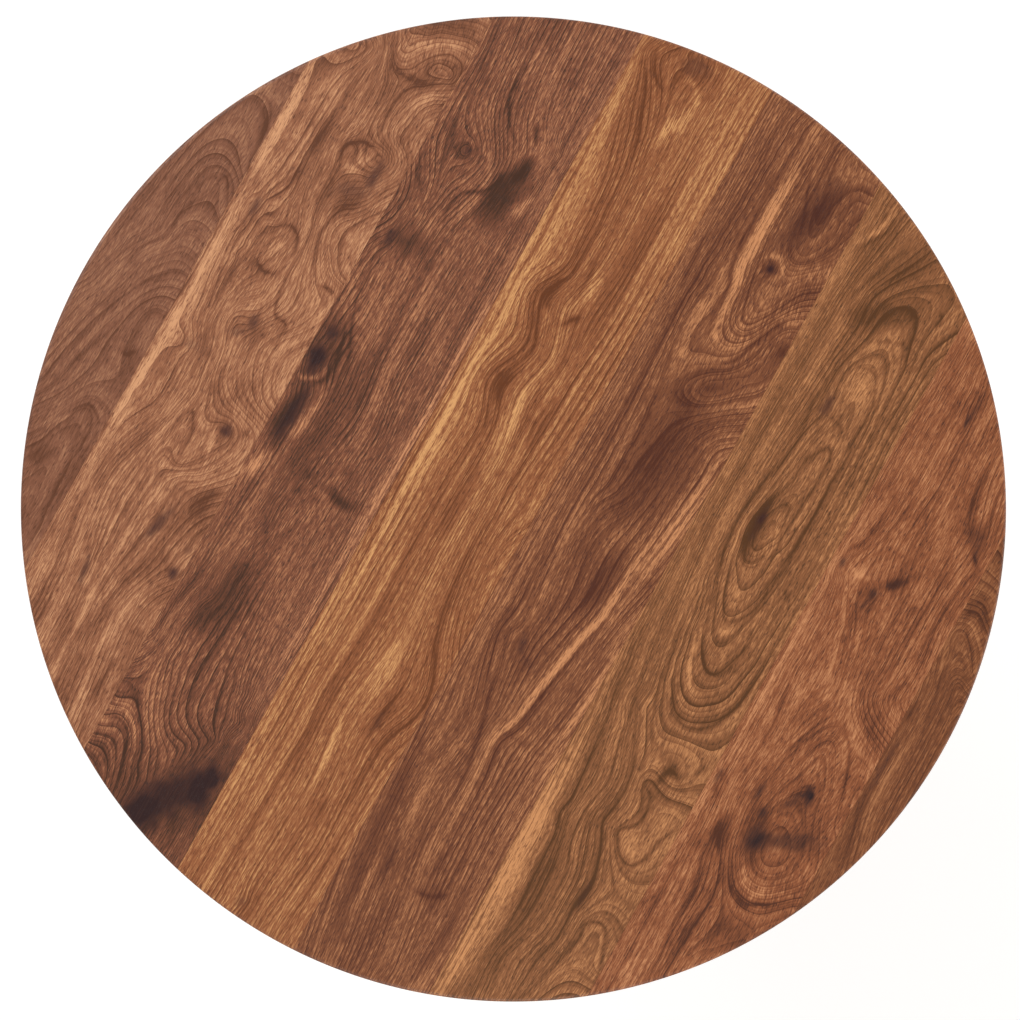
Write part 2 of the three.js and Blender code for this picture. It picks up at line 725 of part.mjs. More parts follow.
function addPiece(name, solid, material, position = [0, 0, 0], turn = 0) {
  const mesh = new THREE.Mesh(geometryOf(solid), material);
  mesh.name = name;
  mesh.position.set(...position);
  mesh.rotation.z = turn;
  table.add(mesh);
}

makeBoards(addPiece);
makeBattens(addPiece);
makeBolt(addPiece);
makeBlock(addPiece);
makeColumn(addPiece);
makeLegs(addPiece);
makeBrace(addPiece);

export default table;
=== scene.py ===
# A round tilt-top table: eight walnut boards on two battens, a pivot block, a turned column and three legs.
# Sizes in the dictionaries are millimetres in the frame's own axes; meshes are written in metres.

import math

import bmesh
import bpy
import numpy as np
from mathutils import Matrix, Vector


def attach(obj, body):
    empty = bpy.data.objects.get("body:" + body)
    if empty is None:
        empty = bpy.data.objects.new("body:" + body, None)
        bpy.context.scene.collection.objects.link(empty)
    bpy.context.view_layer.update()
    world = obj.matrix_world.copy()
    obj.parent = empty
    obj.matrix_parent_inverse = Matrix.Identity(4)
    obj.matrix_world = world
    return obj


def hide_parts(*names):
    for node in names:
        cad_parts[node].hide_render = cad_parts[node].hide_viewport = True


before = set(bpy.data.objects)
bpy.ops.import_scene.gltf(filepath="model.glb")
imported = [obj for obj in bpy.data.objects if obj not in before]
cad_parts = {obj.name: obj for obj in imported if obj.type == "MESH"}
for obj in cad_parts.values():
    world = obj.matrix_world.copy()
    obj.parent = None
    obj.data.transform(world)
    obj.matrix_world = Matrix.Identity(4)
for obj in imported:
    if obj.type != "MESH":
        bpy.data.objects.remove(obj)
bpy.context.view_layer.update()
mm = 0.001
mergeDistance = 0.002 * mm
scene = bpy.context.scene
print("frame loaded:", len(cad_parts), "nodes")


def toLinear(hexColour):
    parts = [int(hexColour[i:i + 2], 16) / 255 for i in (1, 3, 5)]
    return [p / 12.92 if p <= 0.04045 else ((p + 0.055) / 1.055) ** 2.4 for p in parts] + [1.0]


def addNode(tree, kind, inputs=None, **settings):
    # inputs maps a socket's name or number to a value, or to the socket that feeds it
    node = tree.nodes.new(kind)
    for key, value in settings.items():
        setattr(node, key, value)
    for socket, source in (inputs or {}).items():
        if isinstance(source, bpy.types.NodeSocket):
            tree.links.new(source, node.inputs[socket])
        else:
            node.inputs[socket].default_value = source
    return node


def newMaterial(name):
    material = bpy.data.materials.new(name)
    material.use_nodes = True
    material.node_tree.nodes.clear()
    return material


def makePiece(name, points, faces, material, sharpAngle=35):
    # points in millimetres
    mesh = bpy.data.meshes.new(name)
    mesh.from_pydata([[v * mm for v in p] for p in points], [], faces)
    tidyMesh(mesh, sharpAngle)
    mesh.materials.append(material)
    piece = bpy.data.objects.new(name, mesh)
    scene.collection.objects.link(piece)
    return piece


def tidyMesh(mesh, sharpAngle):
    # merged points, outward faces, and smooth shading up to the sharp angle
    shape = bmesh.new()
    shape.from_mesh(mesh)
    bmesh.ops.remove_doubles(shape, verts=shape.verts, dist=mergeDistance)
    bmesh.ops.dissolve_degenerate(shape, edges=shape.edges, dist=mergeDistance)
    bmesh.ops.recalc_face_normals(shape, faces=shape.faces)
    shape.to_mesh(mesh)
    shape.free()
    mesh.polygons.foreach_set("use_smooth", [True] * len(mesh.polygons))
    mesh.set_sharp_from_angle(angle=math.radians(sharpAngle))
    mesh.update()


def applyModifiers(piece, sharpAngle=35):
    bpy.context.view_layer.update()
    evaluated = piece.evaluated_get(bpy.context.evaluated_depsgraph_get())
    mesh = bpy.data.meshes.new_from_object(evaluated)
    mesh.name = piece.name
    piece.modifiers.clear()
    piece.data = mesh
    tidyMesh(mesh, sharpAngle)
    return piece


def bevelEdges(piece, width, segments=3, angle=30):
    bevel = piece.modifiers.new("ease", "BEVEL")
    bevel.width = width * mm
    bevel.segments = segments
    bevel.limit_method = "ANGLE"
    bevel.angle_limit = math.radians(angle)
    bevel.use_clamp_overlap = True
    return applyModifiers(piece)


def joinOrCut(piece, tools, operation="DIFFERENCE"):
    for tool in tools:
        step = piece.modifiers.new("cut", "BOOLEAN")
        step.operation = operation
        step.solver = "EXACT"
        step.object = tool
    applyModifiers(piece)
    for tool in tools:
        bpy.data.objects.remove(tool)
    return piece


def softened(profile, radius, steps=4):
    # rounds every inner corner of an open outline with a short curve
    out = [profile[0]]
    for before, corner, after in zip(profile, profile[1:], profile[2:]):
        before, corner, after = Vector(before), Vector(corner), Vector(after)
        reach = min(radius, (corner - before).length * 0.45, (after - corner).length * 0.45)
        start = corner + (before - corner).normalized() * reach
        end = corner + (after - corner).normalized() * reach
        for k in range(steps + 1):
            t = k / steps
            out.append(tuple(start * (1 - t) ** 2 + corner * 2 * t * (1 - t) + end * t ** 2))
    out.append(profile[-1])
    return out


axisFrames = {"x": ((0, 1, 0), (0, 0, 1), (1, 0, 0)), "y": ((0, 0, 1), (1, 0, 0), (0, 1, 0)),
              "z": ((1, 0, 0), (0, 1, 0), (0, 0, 1))}


def turned(name, profile, material, axis="z", at=(0, 0, 0), sides=64, sharpAngle=35):
    # a lathe shape: profile is (radius, distance along the axis), from the axis back to the axis or closed
    u, v, w = (np.array(a, float) for a in axisFrames[axis])
    points = []
    faces = []
    count = len(profile)
    for s in range(sides):
        a = 2 * math.pi * s / sides
        for radius, along in profile:
            p = np.array(at) + u * radius * math.cos(a) + v * radius * math.sin(a) + w * along
            points.append(tuple(p))
    for s in range(sides):
        n = (s + 1) % sides
        for k in range(count - 1):
            faces.append((s * count + k, n * count + k, n * count + k + 1, s * count + k + 1))
    return makePiece(name, points, faces, material, sharpAngle)


def rodTool(axis, radius, start, end, at=(0, 0, 0), sides=48):
    return turned("tool", [(0, start), (radius, start), (radius, end), (0, end)], None, axis, at, sides)


def prism(name, near, far, material):
    # a solid between two outlines that have their points in the same order
    count = len(near)
    faces = [tuple(range(count)), tuple(range(2 * count - 1, count - 1, -1))]
    faces += [(k, (k + 1) % count, count + (k + 1) % count, count + k) for k in range(count)]
    return makePiece(name, near + far, faces, material)


def slab(name, outline, x0, x1, material):
    # an outline of (y, z) points pulled along X
    return prism(name, [(x0, y, z) for y, z in outline], [(x1, y, z) for y, z in outline], material)


def brick(name, xs, ys, zs, material):
    (x0, x1), (y0, y1), (z0, z1) = xs, ys, zs
    return slab(name, [(y0, z0), (y1, z0), (y1, z1), (y0, z1)], x0, x1, material)


def settle(piece, body, slotName, *nodes):
    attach(piece, body)
    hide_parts(*nodes)
    return piece


# Oiled American walnut, planed and sanded: brown heartwood with paler streaks, a thin dark line where each
# ring ends, short broken fibres and open pores, under a satin film that gives a soft, low gloss.
grain = {
    "ringWarp": 9.0,  # how far rings wander in width
    "poreRoughness": 0.16,
    "satinRoughness": 0.43,
    "ior": 1.48,
    "bumpStrength": 0.35,
    "bumpDistance": 0.25 * mm,
    "film": 0.014,  # what the varnish's own reflection adds to every colour, taken off the wood below it
    "oilWarmth": (1.12, 1.03, 0.92),
}

# Noise that breaks up the wood: the point it reads, its cycles to the millimetre along, across and down,
# its detail and its roughness.
grainNoises = {
    "bands": ("ringPoint", (0.0016, 0.052, 0.02), 2.0, 0.5),  # heartwood bands 20 mm wide and 600 mm long
    "streaks": ("ringPoint", (0.0045, 0.19, 0.06), 3.0, 0.55),
    "presence": ("ringPoint", (0.005, 0.07, 0.03), 1.0, 0.5),  # where late wood shows strongly
    "fibres": ("grainPoint", (0.018, 0.55, 0.55), 3.0, 0.65),  # fibre bundles 1.8 mm wide
    "dashes": ("grainPoint", (0.11, 1.0, 1.0), 2.0, 0.6),  # short grain 1 mm wide, as fine as can show
    "pores": ("grainPoint", (0.17, 1.25, 1.25), 1.0, 0.5),  # 0.2 mm wide, drawn 0.8 mm wide so that they show
    "mottleAndSheen": ("grainPoint", (0.028, 0.055, 0.03), 2.0, 0.5),  # cross-figure, light and dark ripples across the grain: partly the wood's own mottle, partly a painted sheen that stands for light shimmering on curly fibres
}

# Noise turned into amounts: which noise, its range, and the amounts at both ends of that.
grainAmounts = {
    "shown": ("presence", -0.16, 0.14, 0.15, 1.0),
    "sparse": ("streaks", -0.12, 0.16, 0.75, 0.1),
    "poreDark": ("pores", 0.08, 0.2, 0.0, 1.0),
}

# The shade's recipe: each step's name, its operation, and its feeds, which are earlier names or numbers.
grainSteps = (
    # rings brighten from their early wood, then close in a thin dark line of late wood
    ("bandWarp", "MULTIPLY_ADD", "bands", grain["ringWarp"], "Ring"),
    ("warped", "MULTIPLY_ADD", "streaks", grain["ringWarp"] * 0.25, "bandWarp"),
    ("phase", "DIVIDE", "warped", "Spacing"),
    ("saw", "FRACT", "phase"),
    ("lateWood", "POWER", "saw", 3.6),
    ("finePhase", "MULTIPLY", "phase", 2.62),
    ("fineSaw", "FRACT", "finePhase"),
    ("fineWood", "POWER", "fineSaw", 3.0),
    ("fineLines", "MULTIPLY", "fineWood", "Lines"),
    ("lateShown", "MULTIPLY", "lateWood", "shown"),
    ("lateLines", "MULTIPLY", "lateShown", "Lines"),
    ("strongLines", "MULTIPLY", "lateLines", 1.5),
    ("allLines", "MULTIPLY_ADD", "fineLines", "sparse", "strongLines"),
    ("lineBreaks", "MULTIPLY_ADD", "dashes", 2.0, 1.0),
    ("brokenLines", "MULTIPLY", "allLines", "lineBreaks"),
    ("offKnots", "MULTIPLY_ADD", "Knot", -1.0, 1.0),
    ("lines", "MULTIPLY", "brokenLines", "offKnots"),
    # the painted tone, broken by streaks and short grain, then everything finer on top of it
    ("dashBreaks", "MULTIPLY_ADD", "dashes", 1.6, 1.0),
    ("breaks", "MULTIPLY_ADD", "streaks", 2.4, "dashBreaks"),
    ("toned", "MULTIPLY_ADD", "Tone", "breaks", 0.6),
    ("banded", "MULTIPLY_ADD", "bands", "Bands", "toned"),
    ("streakAmount", "MULTIPLY", "Bands", 0.7),
    ("streaked", "MULTIPLY_ADD", "streaks", "streakAmount", "banded"),
    # painted sheen mixed with real figure: the cross-grain ripples lighten and darken the shade, partly the
    # wood's own mottle and partly a painted shimmer of light
    ("mottledAndSheened", "MULTIPLY_ADD", "mottleAndSheen", "MottleAndSheen", "streaked"),
    ("fibrous", "MULTIPLY_ADD", "fibres", "Fibres", "mottledAndSheened"),
    ("dashAmount", "MULTIPLY", "Fibres", 2.3),
    ("dashed", "MULTIPLY_ADD", "dashes", "dashAmount", "fibrous"),
    ("lined", "SUBTRACT", "dashed", "lines"),
    ("shade", "MULTIPLY_ADD", "poreDark", -0.38, "lined"),
    ("lower", "MULTIPLY", "shade", 2.0),
    ("upper", "MULTIPLY_ADD", "shade", 2.0, -1.0),
    ("knotFibres", "MULTIPLY", "fibres", "Knot"),
    ("pit", "MULTIPLY_ADD", "knotFibres", 0.8, "Knot"),
    ("poreRough", "MULTIPLY_ADD", "poreDark", grain["poreRoughness"], grain["satinRoughness"]),
    ("rough", "MULTIPLY_ADD", "fibres", -0.12, "poreRough"),
    ("height", "MULTIPLY_ADD", "poreDark", -0.7, "fibres"),
)
grainClamped = ("offKnots", "lower", "upper", "pit")

# Each of the group's settings, and the key of a look that fills it.
grainColours = {"Dark": "dark", "Middle": "middle", "Light": "light", "Pit": "pit"}
grainLevels = {"Seed": "seed", "Spacing": "spacing", "Lines": "lines", "Bands": "bands", "MottleAndSheen": "mottleAndSheen",
               "Fibres": "fibres"}


def makeWalnutGroup():
    tree = bpy.data.node_groups.new("walnutFigure", "ShaderNodeTree")
    face = tree.interface
    for name in ("Along", "Ring", "Across", "Depth", "Tone", "Knot", *grainLevels):
        face.new_socket(name=name, in_out="INPUT", socket_type="NodeSocketFloat")
    for name in grainColours:
        face.new_socket(name=name, in_out="INPUT", socket_type="NodeSocketColor")
    for name, kind in (("Colour", "Color"), ("Roughness", "Float"), ("Normal", "Vector")):
        face.new_socket(name=name, in_out="OUTPUT", socket_type="NodeSocket" + kind)
    made = {socket.name: socket for socket in addNode(tree, "NodeGroupInput").outputs}
    for name, apart in (("Along", 731.0), ("Ring", 97.0), ("Across", 57.0)):  # no two alike
        made["seed" + name] = addNode(tree, "ShaderNodeMath", {0: made["Seed"], 1: apart, 2: made[name]},
                                      operation="MULTIPLY_ADD").outputs[0]
    for name, across in (("ringPoint", "seedRing"), ("grainPoint", "seedAcross")):
        made[name] = addNode(tree, "ShaderNodeCombineXYZ",
                             {0: made["seedAlong"], 1: made[across], 2: made["Depth"]}).outputs[0]
    for name, (point, scale, detail, rough) in grainNoises.items():
        scaled = addNode(tree, "ShaderNodeVectorMath", {0: made[point], 1: scale},
                         operation="MULTIPLY").outputs[0]
        noise = addNode(tree, "ShaderNodeTexNoise", {"Vector": scaled, "Scale": 1.0, "Detail": detail,
                                                     "Roughness": rough}).outputs[0]
        made[name] = addNode(tree, "ShaderNodeMath", {0: noise, 1: 0.5}, operation="SUBTRACT").outputs[0]
    for name, (noise, *limits) in grainAmounts.items():
        made[name] = addNode(tree, "ShaderNodeMapRange",
                             {0: made[noise], **dict(enumerate(limits, 1))}).outputs[0]
    for name, operation, *feeds in grainSteps:
        inputs = {k: made[feed] if isinstance(feed, str) else feed for k, feed in enumerate(feeds)}
        made[name] = addNode(tree, "ShaderNodeMath", inputs, operation=operation,
                             use_clamp=name in grainClamped).outputs[0]
    colour = made["Dark"]
    # in a colour Mix node, socket 0 is the factor and 6 and 7 the colours
    for factor, name in (("lower", "Middle"), ("upper", "Light"), ("pit", "Pit")):
        colour = addNode(tree, "ShaderNodeMix", {0: made[factor], 6: colour, 7: made[name]},
                         data_type="RGBA").outputs[2]
    bump = addNode(tree, "ShaderNodeBump", {"Strength": grain["bumpStrength"], "Height": made["height"],
                                            "Distance": grain["bumpDistance"]}).outputs[0]
    addNode(tree, "NodeGroupOutput", {"Colour": colour, "Roughness": made["rough"], "Normal": bump})
    return tree


walnutGroup = makeWalnutGroup()


def makeWalnut(name, look, source):
    # source is a function that gives the group's Along, Ring, Across, Depth, Tone and Knot for this tree
    material = newMaterial(name)
    tree = material.node_tree
    inputs = source(tree)
    for socket, key in grainColours.items():
        pairs = zip(toLinear(look[key]), grain["oilWarmth"])
        bare = [max(c - grain["film"], 0.002) * warm for c, warm in pairs]
        inputs[socket] = bare + [1.0]
    for socket, key in grainLevels.items():
        inputs[socket] = look[key]
    figure = addNode(tree, "ShaderNodeGroup", inputs, node_tree=walnutGroup).outputs
    shader = addNode(tree, "ShaderNodeBsdfPrincipled", {"Base Color": figure["Colour"], "IOR": grain["ior"],
                                                        "Roughness": figure["Roughness"],
                                                        "Normal": figure["Normal"]})
    addNode(tree, "ShaderNodeOutputMaterial", {"Surface": shader.outputs[0]})
    return material


def boardSource(tree):
    # boards carry their ring field and their shades as attributes
    figure = addNode(tree, "ShaderNodeAttribute", attribute_name="figure")
    shades = addNode(tree, "ShaderNodeAttribute", attribute_name="shades")
    along, ring, depth = addNode(tree, "ShaderNodeSeparateXYZ", {0: figure.outputs["Vector"]}).outputs
    tone, knot, across = addNode(tree, "ShaderNodeSeparateXYZ", {0: shades.outputs["Vector"]}).outputs
    return {"Along": along, "Ring": ring, "Across": across, "Depth": depth, "Tone": tone, "Knot": knot}


def blankSource(turn, pith):
    # a sawn or turned blank: rings are round its pith, which lies outside it along the turned X axis
    drift = 0.035  # rings open slowly along the blank

    def build(tree):
        place = addNode(tree, "ShaderNodeTexCoord").outputs["Object"]
        scaled = addNode(tree, "ShaderNodeMapping", {"Vector": place, "Rotation": turn,
                                                     "Scale": (1 / mm, 1 / mm, 1 / mm)}).outputs[0]
        along, across, up = addNode(tree, "ShaderNodeSeparateXYZ", {0: scaled}).outputs
        feeds = ((along, drift, "MULTIPLY"), (across, pith[0], "ADD"), (up, pith[1], "ADD"))
        offset = [addNode(tree, "ShaderNodeMath", {0: feed, 1: amount}, operation=operation).outputs[0]
                  for feed, amount, operation in feeds]
        fromPith = addNode(tree, "ShaderNodeCombineXYZ", dict(enumerate(offset))).outputs[0]
        ring = addNode(tree, "ShaderNodeVectorMath", {0: fromPith}, operation="LENGTH").outputs["Value"]
        return {"Along": along, "Ring": ring, "Across": ring, "Depth": across, "Tone": 0.0, "Knot": 0.0}
    return build


# The round top: eight boards with a fine glue line between them and an eased rim.
topSizes = {
    "radius": 450.0,
    "rimEase": 3.0,
    "upper": 720.0,
    "under": 695.0,
    "glueHalf": 0.05,
    "cell": 1.8,  # mesh cell on the upper face
    "underCells": 4,  # cells of the upper face to one of the underside
    "rimSteps": 4,
    "ringTilt": 0.55,  # millimetres of ring field to each millimetre down, for the rim and the underside
    "underTone": 0.45,  # how strongly the figure's shades carry through to the underside
    "fineFollow": 0.22,  # how much the finest grain turns with the rings
}

# How a board's figure is drawn, with lengths in millimetres.
drawing = {
    "guideStep": 22,  # distance between the places where a ring line holds the ring field
    "ringStretch": 100,  # the ring field is solved in steps of this
    "ringEase": 0.004,
    "wander": ((1.6, 120, 34), (0.35, 45, 13)),  # how far rings stray, and the length and width of it
    "knotStray": 0.25,  # how raggedly a knot ends, as a share of its size
    "knotGrit": 9,
    "knotEdge": 1.8,  # above 1, the edge is hard
    "pushReach": 5.5,
    "haloTone": 0.22,
    "haloReach": 5,
    "strokeStray": ((2.0, 22, 12), (1.3, 26, 12)),  # in X and in Y
    "thinStroke": 5,  # dark strokes below this half width have a sharp crest
    "crest": 1.5,
    "darkStrength": 1.5,
    "lightStrength": 0.8,
    "latticeSize": 97,
}

walnutPit = "#3a2018"

# Each board's figure. ringLines are (ring value, points) that the rings follow. Knots are (x, y, half length,
# half width, turn in degrees, darkness, ring push). Strokes are (shade, half width, points), dark below 0.
boardFigure1 = {
    "near": 362.6, "far": 450.5, "slot": "walnut_mid", "seed": 0.13,
    "dark": "#613c28", "middle": "#885b46", "light": "#b48465", "pit": walnutPit,
    "spacing": 3.4, "lines": 0.36, "bands": 0.8, "mottleAndSheen": 0.5, "fibres": 0.6,
    "ringLines": [
        [0, [(-130, 426), (-106, 416), (-79, 405), (-55, 398), (-20, 391), (0, 384), (12, 372), (14, 361)]],
        [7, [(-106, 433), (-72, 429), (-38, 419), (0, 402), (20, 392), (34, 381), (41, 374), (41, 361)]],
        [14, [(-72, 440), (-38, 433), (0, 420), (34, 410), (52, 398), (72, 388), (82, 381), (81, 368),
              (76, 361)]],
        [22, [(-20, 442), (34, 420), (62, 402), (86, 399), (113, 389), (130, 386), (137, 376), (120, 366),
              (106, 361)]],
        [34, [(0, 446), (69, 432), (137, 418), (180, 402), (213, 386), (206, 371), (186, 366), (151, 361)]],
        [-10, [(-257, 364), (-209, 368), (-158, 373), (-130, 372), (-108, 380), (-116, 395), (-160, 414)]],
        [-5, [(-150, 420), (-118, 406), (-95, 394), (-88, 380), (-94, 364)]],
        [-14, [(-230, 378), (-180, 384), (-150, 385)]],
    ],
    "knots": [],
    "strokes": [
        (-0.35, 1.8, [(-130, 428), (-89, 419), (-40, 402), (0, 385)]),
        (-0.3, 1.8, [(-89, 429), (-40, 416), (0, 405)]),
        (-0.35, 1.8, [(0, 417), (38, 414), (62, 398), (86, 398), (117, 386), (132, 386)]),
        (-0.3, 1.8, [(0, 398), (17, 393), (24, 385), (40, 378), (43, 364)]),
        (-0.3, 1.8, [(52, 393), (77, 385), (82, 374), (77, 364)]),
        (-0.45, 2.2, [(125, 392), (132, 386), (129, 381), (137, 377), (117, 364)]),
        (-0.35, 2, [(210, 392), (220, 385), (208, 369), (179, 364)]),
        (-0.28, 9, [(-182, 410), (-168, 401), (-152, 390)]),
        (0.35, 4, [(-144, 412), (-133, 404), (-122, 393)]),
        (-0.5, 2.4, [(-122, 398), (-108, 388), (-108, 380), (-117, 367)]),
        (0.25, 3, [(-154, 372), (-137, 370), (-120, 368)]),
        (-0.45, 2.4, [(-46, 385), (-48, 377), (-39, 369)]),
        (-0.25, 1.8, [(12, 445), (80, 434), (146, 421)]),
        (0.2, 16, [(150, 400), (200, 390), (250, 375)]),
        (-0.12, 12, [(-250, 372), (-200, 369), (-120, 366)]),
    ],
}
boardFigure2 = {
    "near": 234.95, "far": 362.6, "slot": "walnut_light", "seed": 0.37,
    "dark": "#623c28", "middle": "#9a674c", "light": "#d6a27b", "pit": walnutPit,
    "spacing": 4.2, "lines": 0.36, "bands": 0.72, "mottleAndSheen": 0.75, "fibres": 0.6,
    "ringLines": [
        [356, [(-260, 357), (-150, 356), (0, 355), (130, 356), (300, 356)]],
        [338, [(-330, 330), (-250, 334), (-165, 345), (-123, 338), (-79, 320), (-38, 318), (0, 324),
               (60, 336), (115, 342), (134, 338), (155, 322), (206, 318), (258, 314), (309, 312)]],
        [308, [(-250, 310), (-165, 316), (-106, 311), (-72, 303), (-67, 296), (-84, 290), (-110, 287)]],
        [302, [(-260, 302), (-170, 304), (-115, 300)]],
        [291, [(-300, 290), (-225, 289), (-165, 283), (-125, 275)]],
        [276, [(-347, 271), (-278, 278), (-244, 276), (-209, 264), (-175, 257)]],
        [262, [(-330, 256), (-261, 264), (-230, 257), (-209, 246)]],
        [292, [(-51, 242), (-44, 271), (-27, 290), (0, 296)]],
        [280, [(-38, 242), (-27, 264), (0, 278)]],
        [270, [(-24, 242), (0, 258), (30, 256)]],
        [300, [(0, 302), (27, 310), (45, 298), (60, 284), (82, 286), (127, 286), (150, 292), (192, 292),
               (213, 296), (224, 286), (227, 271), (222, 256)]],
        [272, [(93, 240), (94, 257), (117, 271), (137, 278), (161, 275), (172, 264), (190, 250), (200, 242)]],
        [258, [(110, 240), (128, 254), (148, 258), (165, 248), (172, 240)]],
        [290, [(326, 309), (306, 299), (299, 285), (306, 264), (316, 242)]],
        [276, [(240, 257), (275, 251), (290, 243)]],
    ],
    "knots": [
        (-239, 315, 13, 3, 8, 0.6, 5), (-170, 276, 21, 4.5, -12, 0.7, 3), (-65, 264, 7, 5, 0, 0.8, 7),
        (-202.5, 243, 5.5, 5, 0, 0.8, 3), (-177, 241, 4, 3.5, 0, 0.35, 2), (126, 340, 10, 4, 0, 0.5, 5),
        (103, 303, 24, 15, 0, 0.0, 12), (33, 291, 8, 5, 0, 0.55, 7), (19, 300, 8, 4, -55, 0.35, 0),
        (180, 273, 14, 7, -72, 0.35, 0), (203, 259, 17, 5, 0, 0.6, 8), (207, 278, 12, 7, 0, 0.0, 8),
        (326, 273, 13, 22, 0, 0.0, 14), (-12, 330, 5, 8, 0, 0.25, 4),
    ],
    "strokes": [
        (0.45, 6, [(-158, 356), (-60, 356), (60, 355), (140, 355)]),
        (0.28, 5, [(140, 355), (200, 357), (260, 358)]),
        (0.3, 3, [(-255, 309), (-240, 308), (-226, 306)]),
        (0.45, 4, [(-189, 292), (-178, 285), (-165, 282)]),
        (0.4, 4, [(-99, 266), (-84, 270), (-68, 273)]),
        (-0.35, 2, [(-51, 258), (-44, 278), (-27, 292), (0, 294)]),
        (-0.28, 2, [(-38, 258), (-30, 272), (-12, 282), (8, 284)]),
        (-0.25, 2, [(-24, 257), (-16, 268), (0, 274)]),
        (-0.3, 2, [(-118, 312), (-84, 308), (-64, 300), (-84, 291), (-118, 288)]),
        (-0.2, 2, [(-160, 307), (-125, 301), (-150, 294)]),
        (-0.3, 4, [(-347, 254), (-320, 251), (-295, 250)]),
        (-0.25, 9, [(-148, 255), (-132, 249), (-115, 243)]),
        (-0.3, 2.5, [(-59, 253), (-58, 241)]),
        (-0.4, 2.2, [(137, 337), (151, 326), (192, 321), (261, 316), (309, 311)]),
        (-0.3, 2, [(140, 332), (165, 320), (230, 314), (300, 305)]),
        (-0.25, 2, [(-15, 338), (20, 334), (60, 330), (115, 338)]),
        (-0.45, 3.5, [(84, 318), (79, 305), (84, 293)]),
        (-0.45, 3, [(100, 290), (118, 292), (126, 302), (122, 312)]),
        (0.35, 5, [(94, 309), (100, 307), (108, 304)]),
        (-0.4, 2.2, [(189, 295), (206, 296), (220, 294), (227, 278), (220, 259)]),
        (0.35, 5, [(197, 281), (206, 279), (216, 274)]),
        (-0.4, 2.2, [(96, 258), (104, 266), (113, 271), (137, 276), (162, 271), (175, 258)]),
        (-0.4, 2.2, [(91, 256), (92, 248), (91, 239)]),
        (-0.35, 2, [(0, 266), (41, 263), (52, 278), (86, 285), (127, 285)]),
        (-0.4, 4, [(303, 302), (297, 288), (296, 272), (300, 256), (308, 244)]),
        (0.3, 8, [(326, 288), (329, 272), (326, 258)]),
        (-0.35, 14, [(346, 293), (360, 272), (370, 248)]),
        (-0.15, 12, [(150, 290), (165, 280), (172, 262)]),
        (0.12, 14, [(-400, 320), (-300, 335), (-200, 340)]),
    ],
}
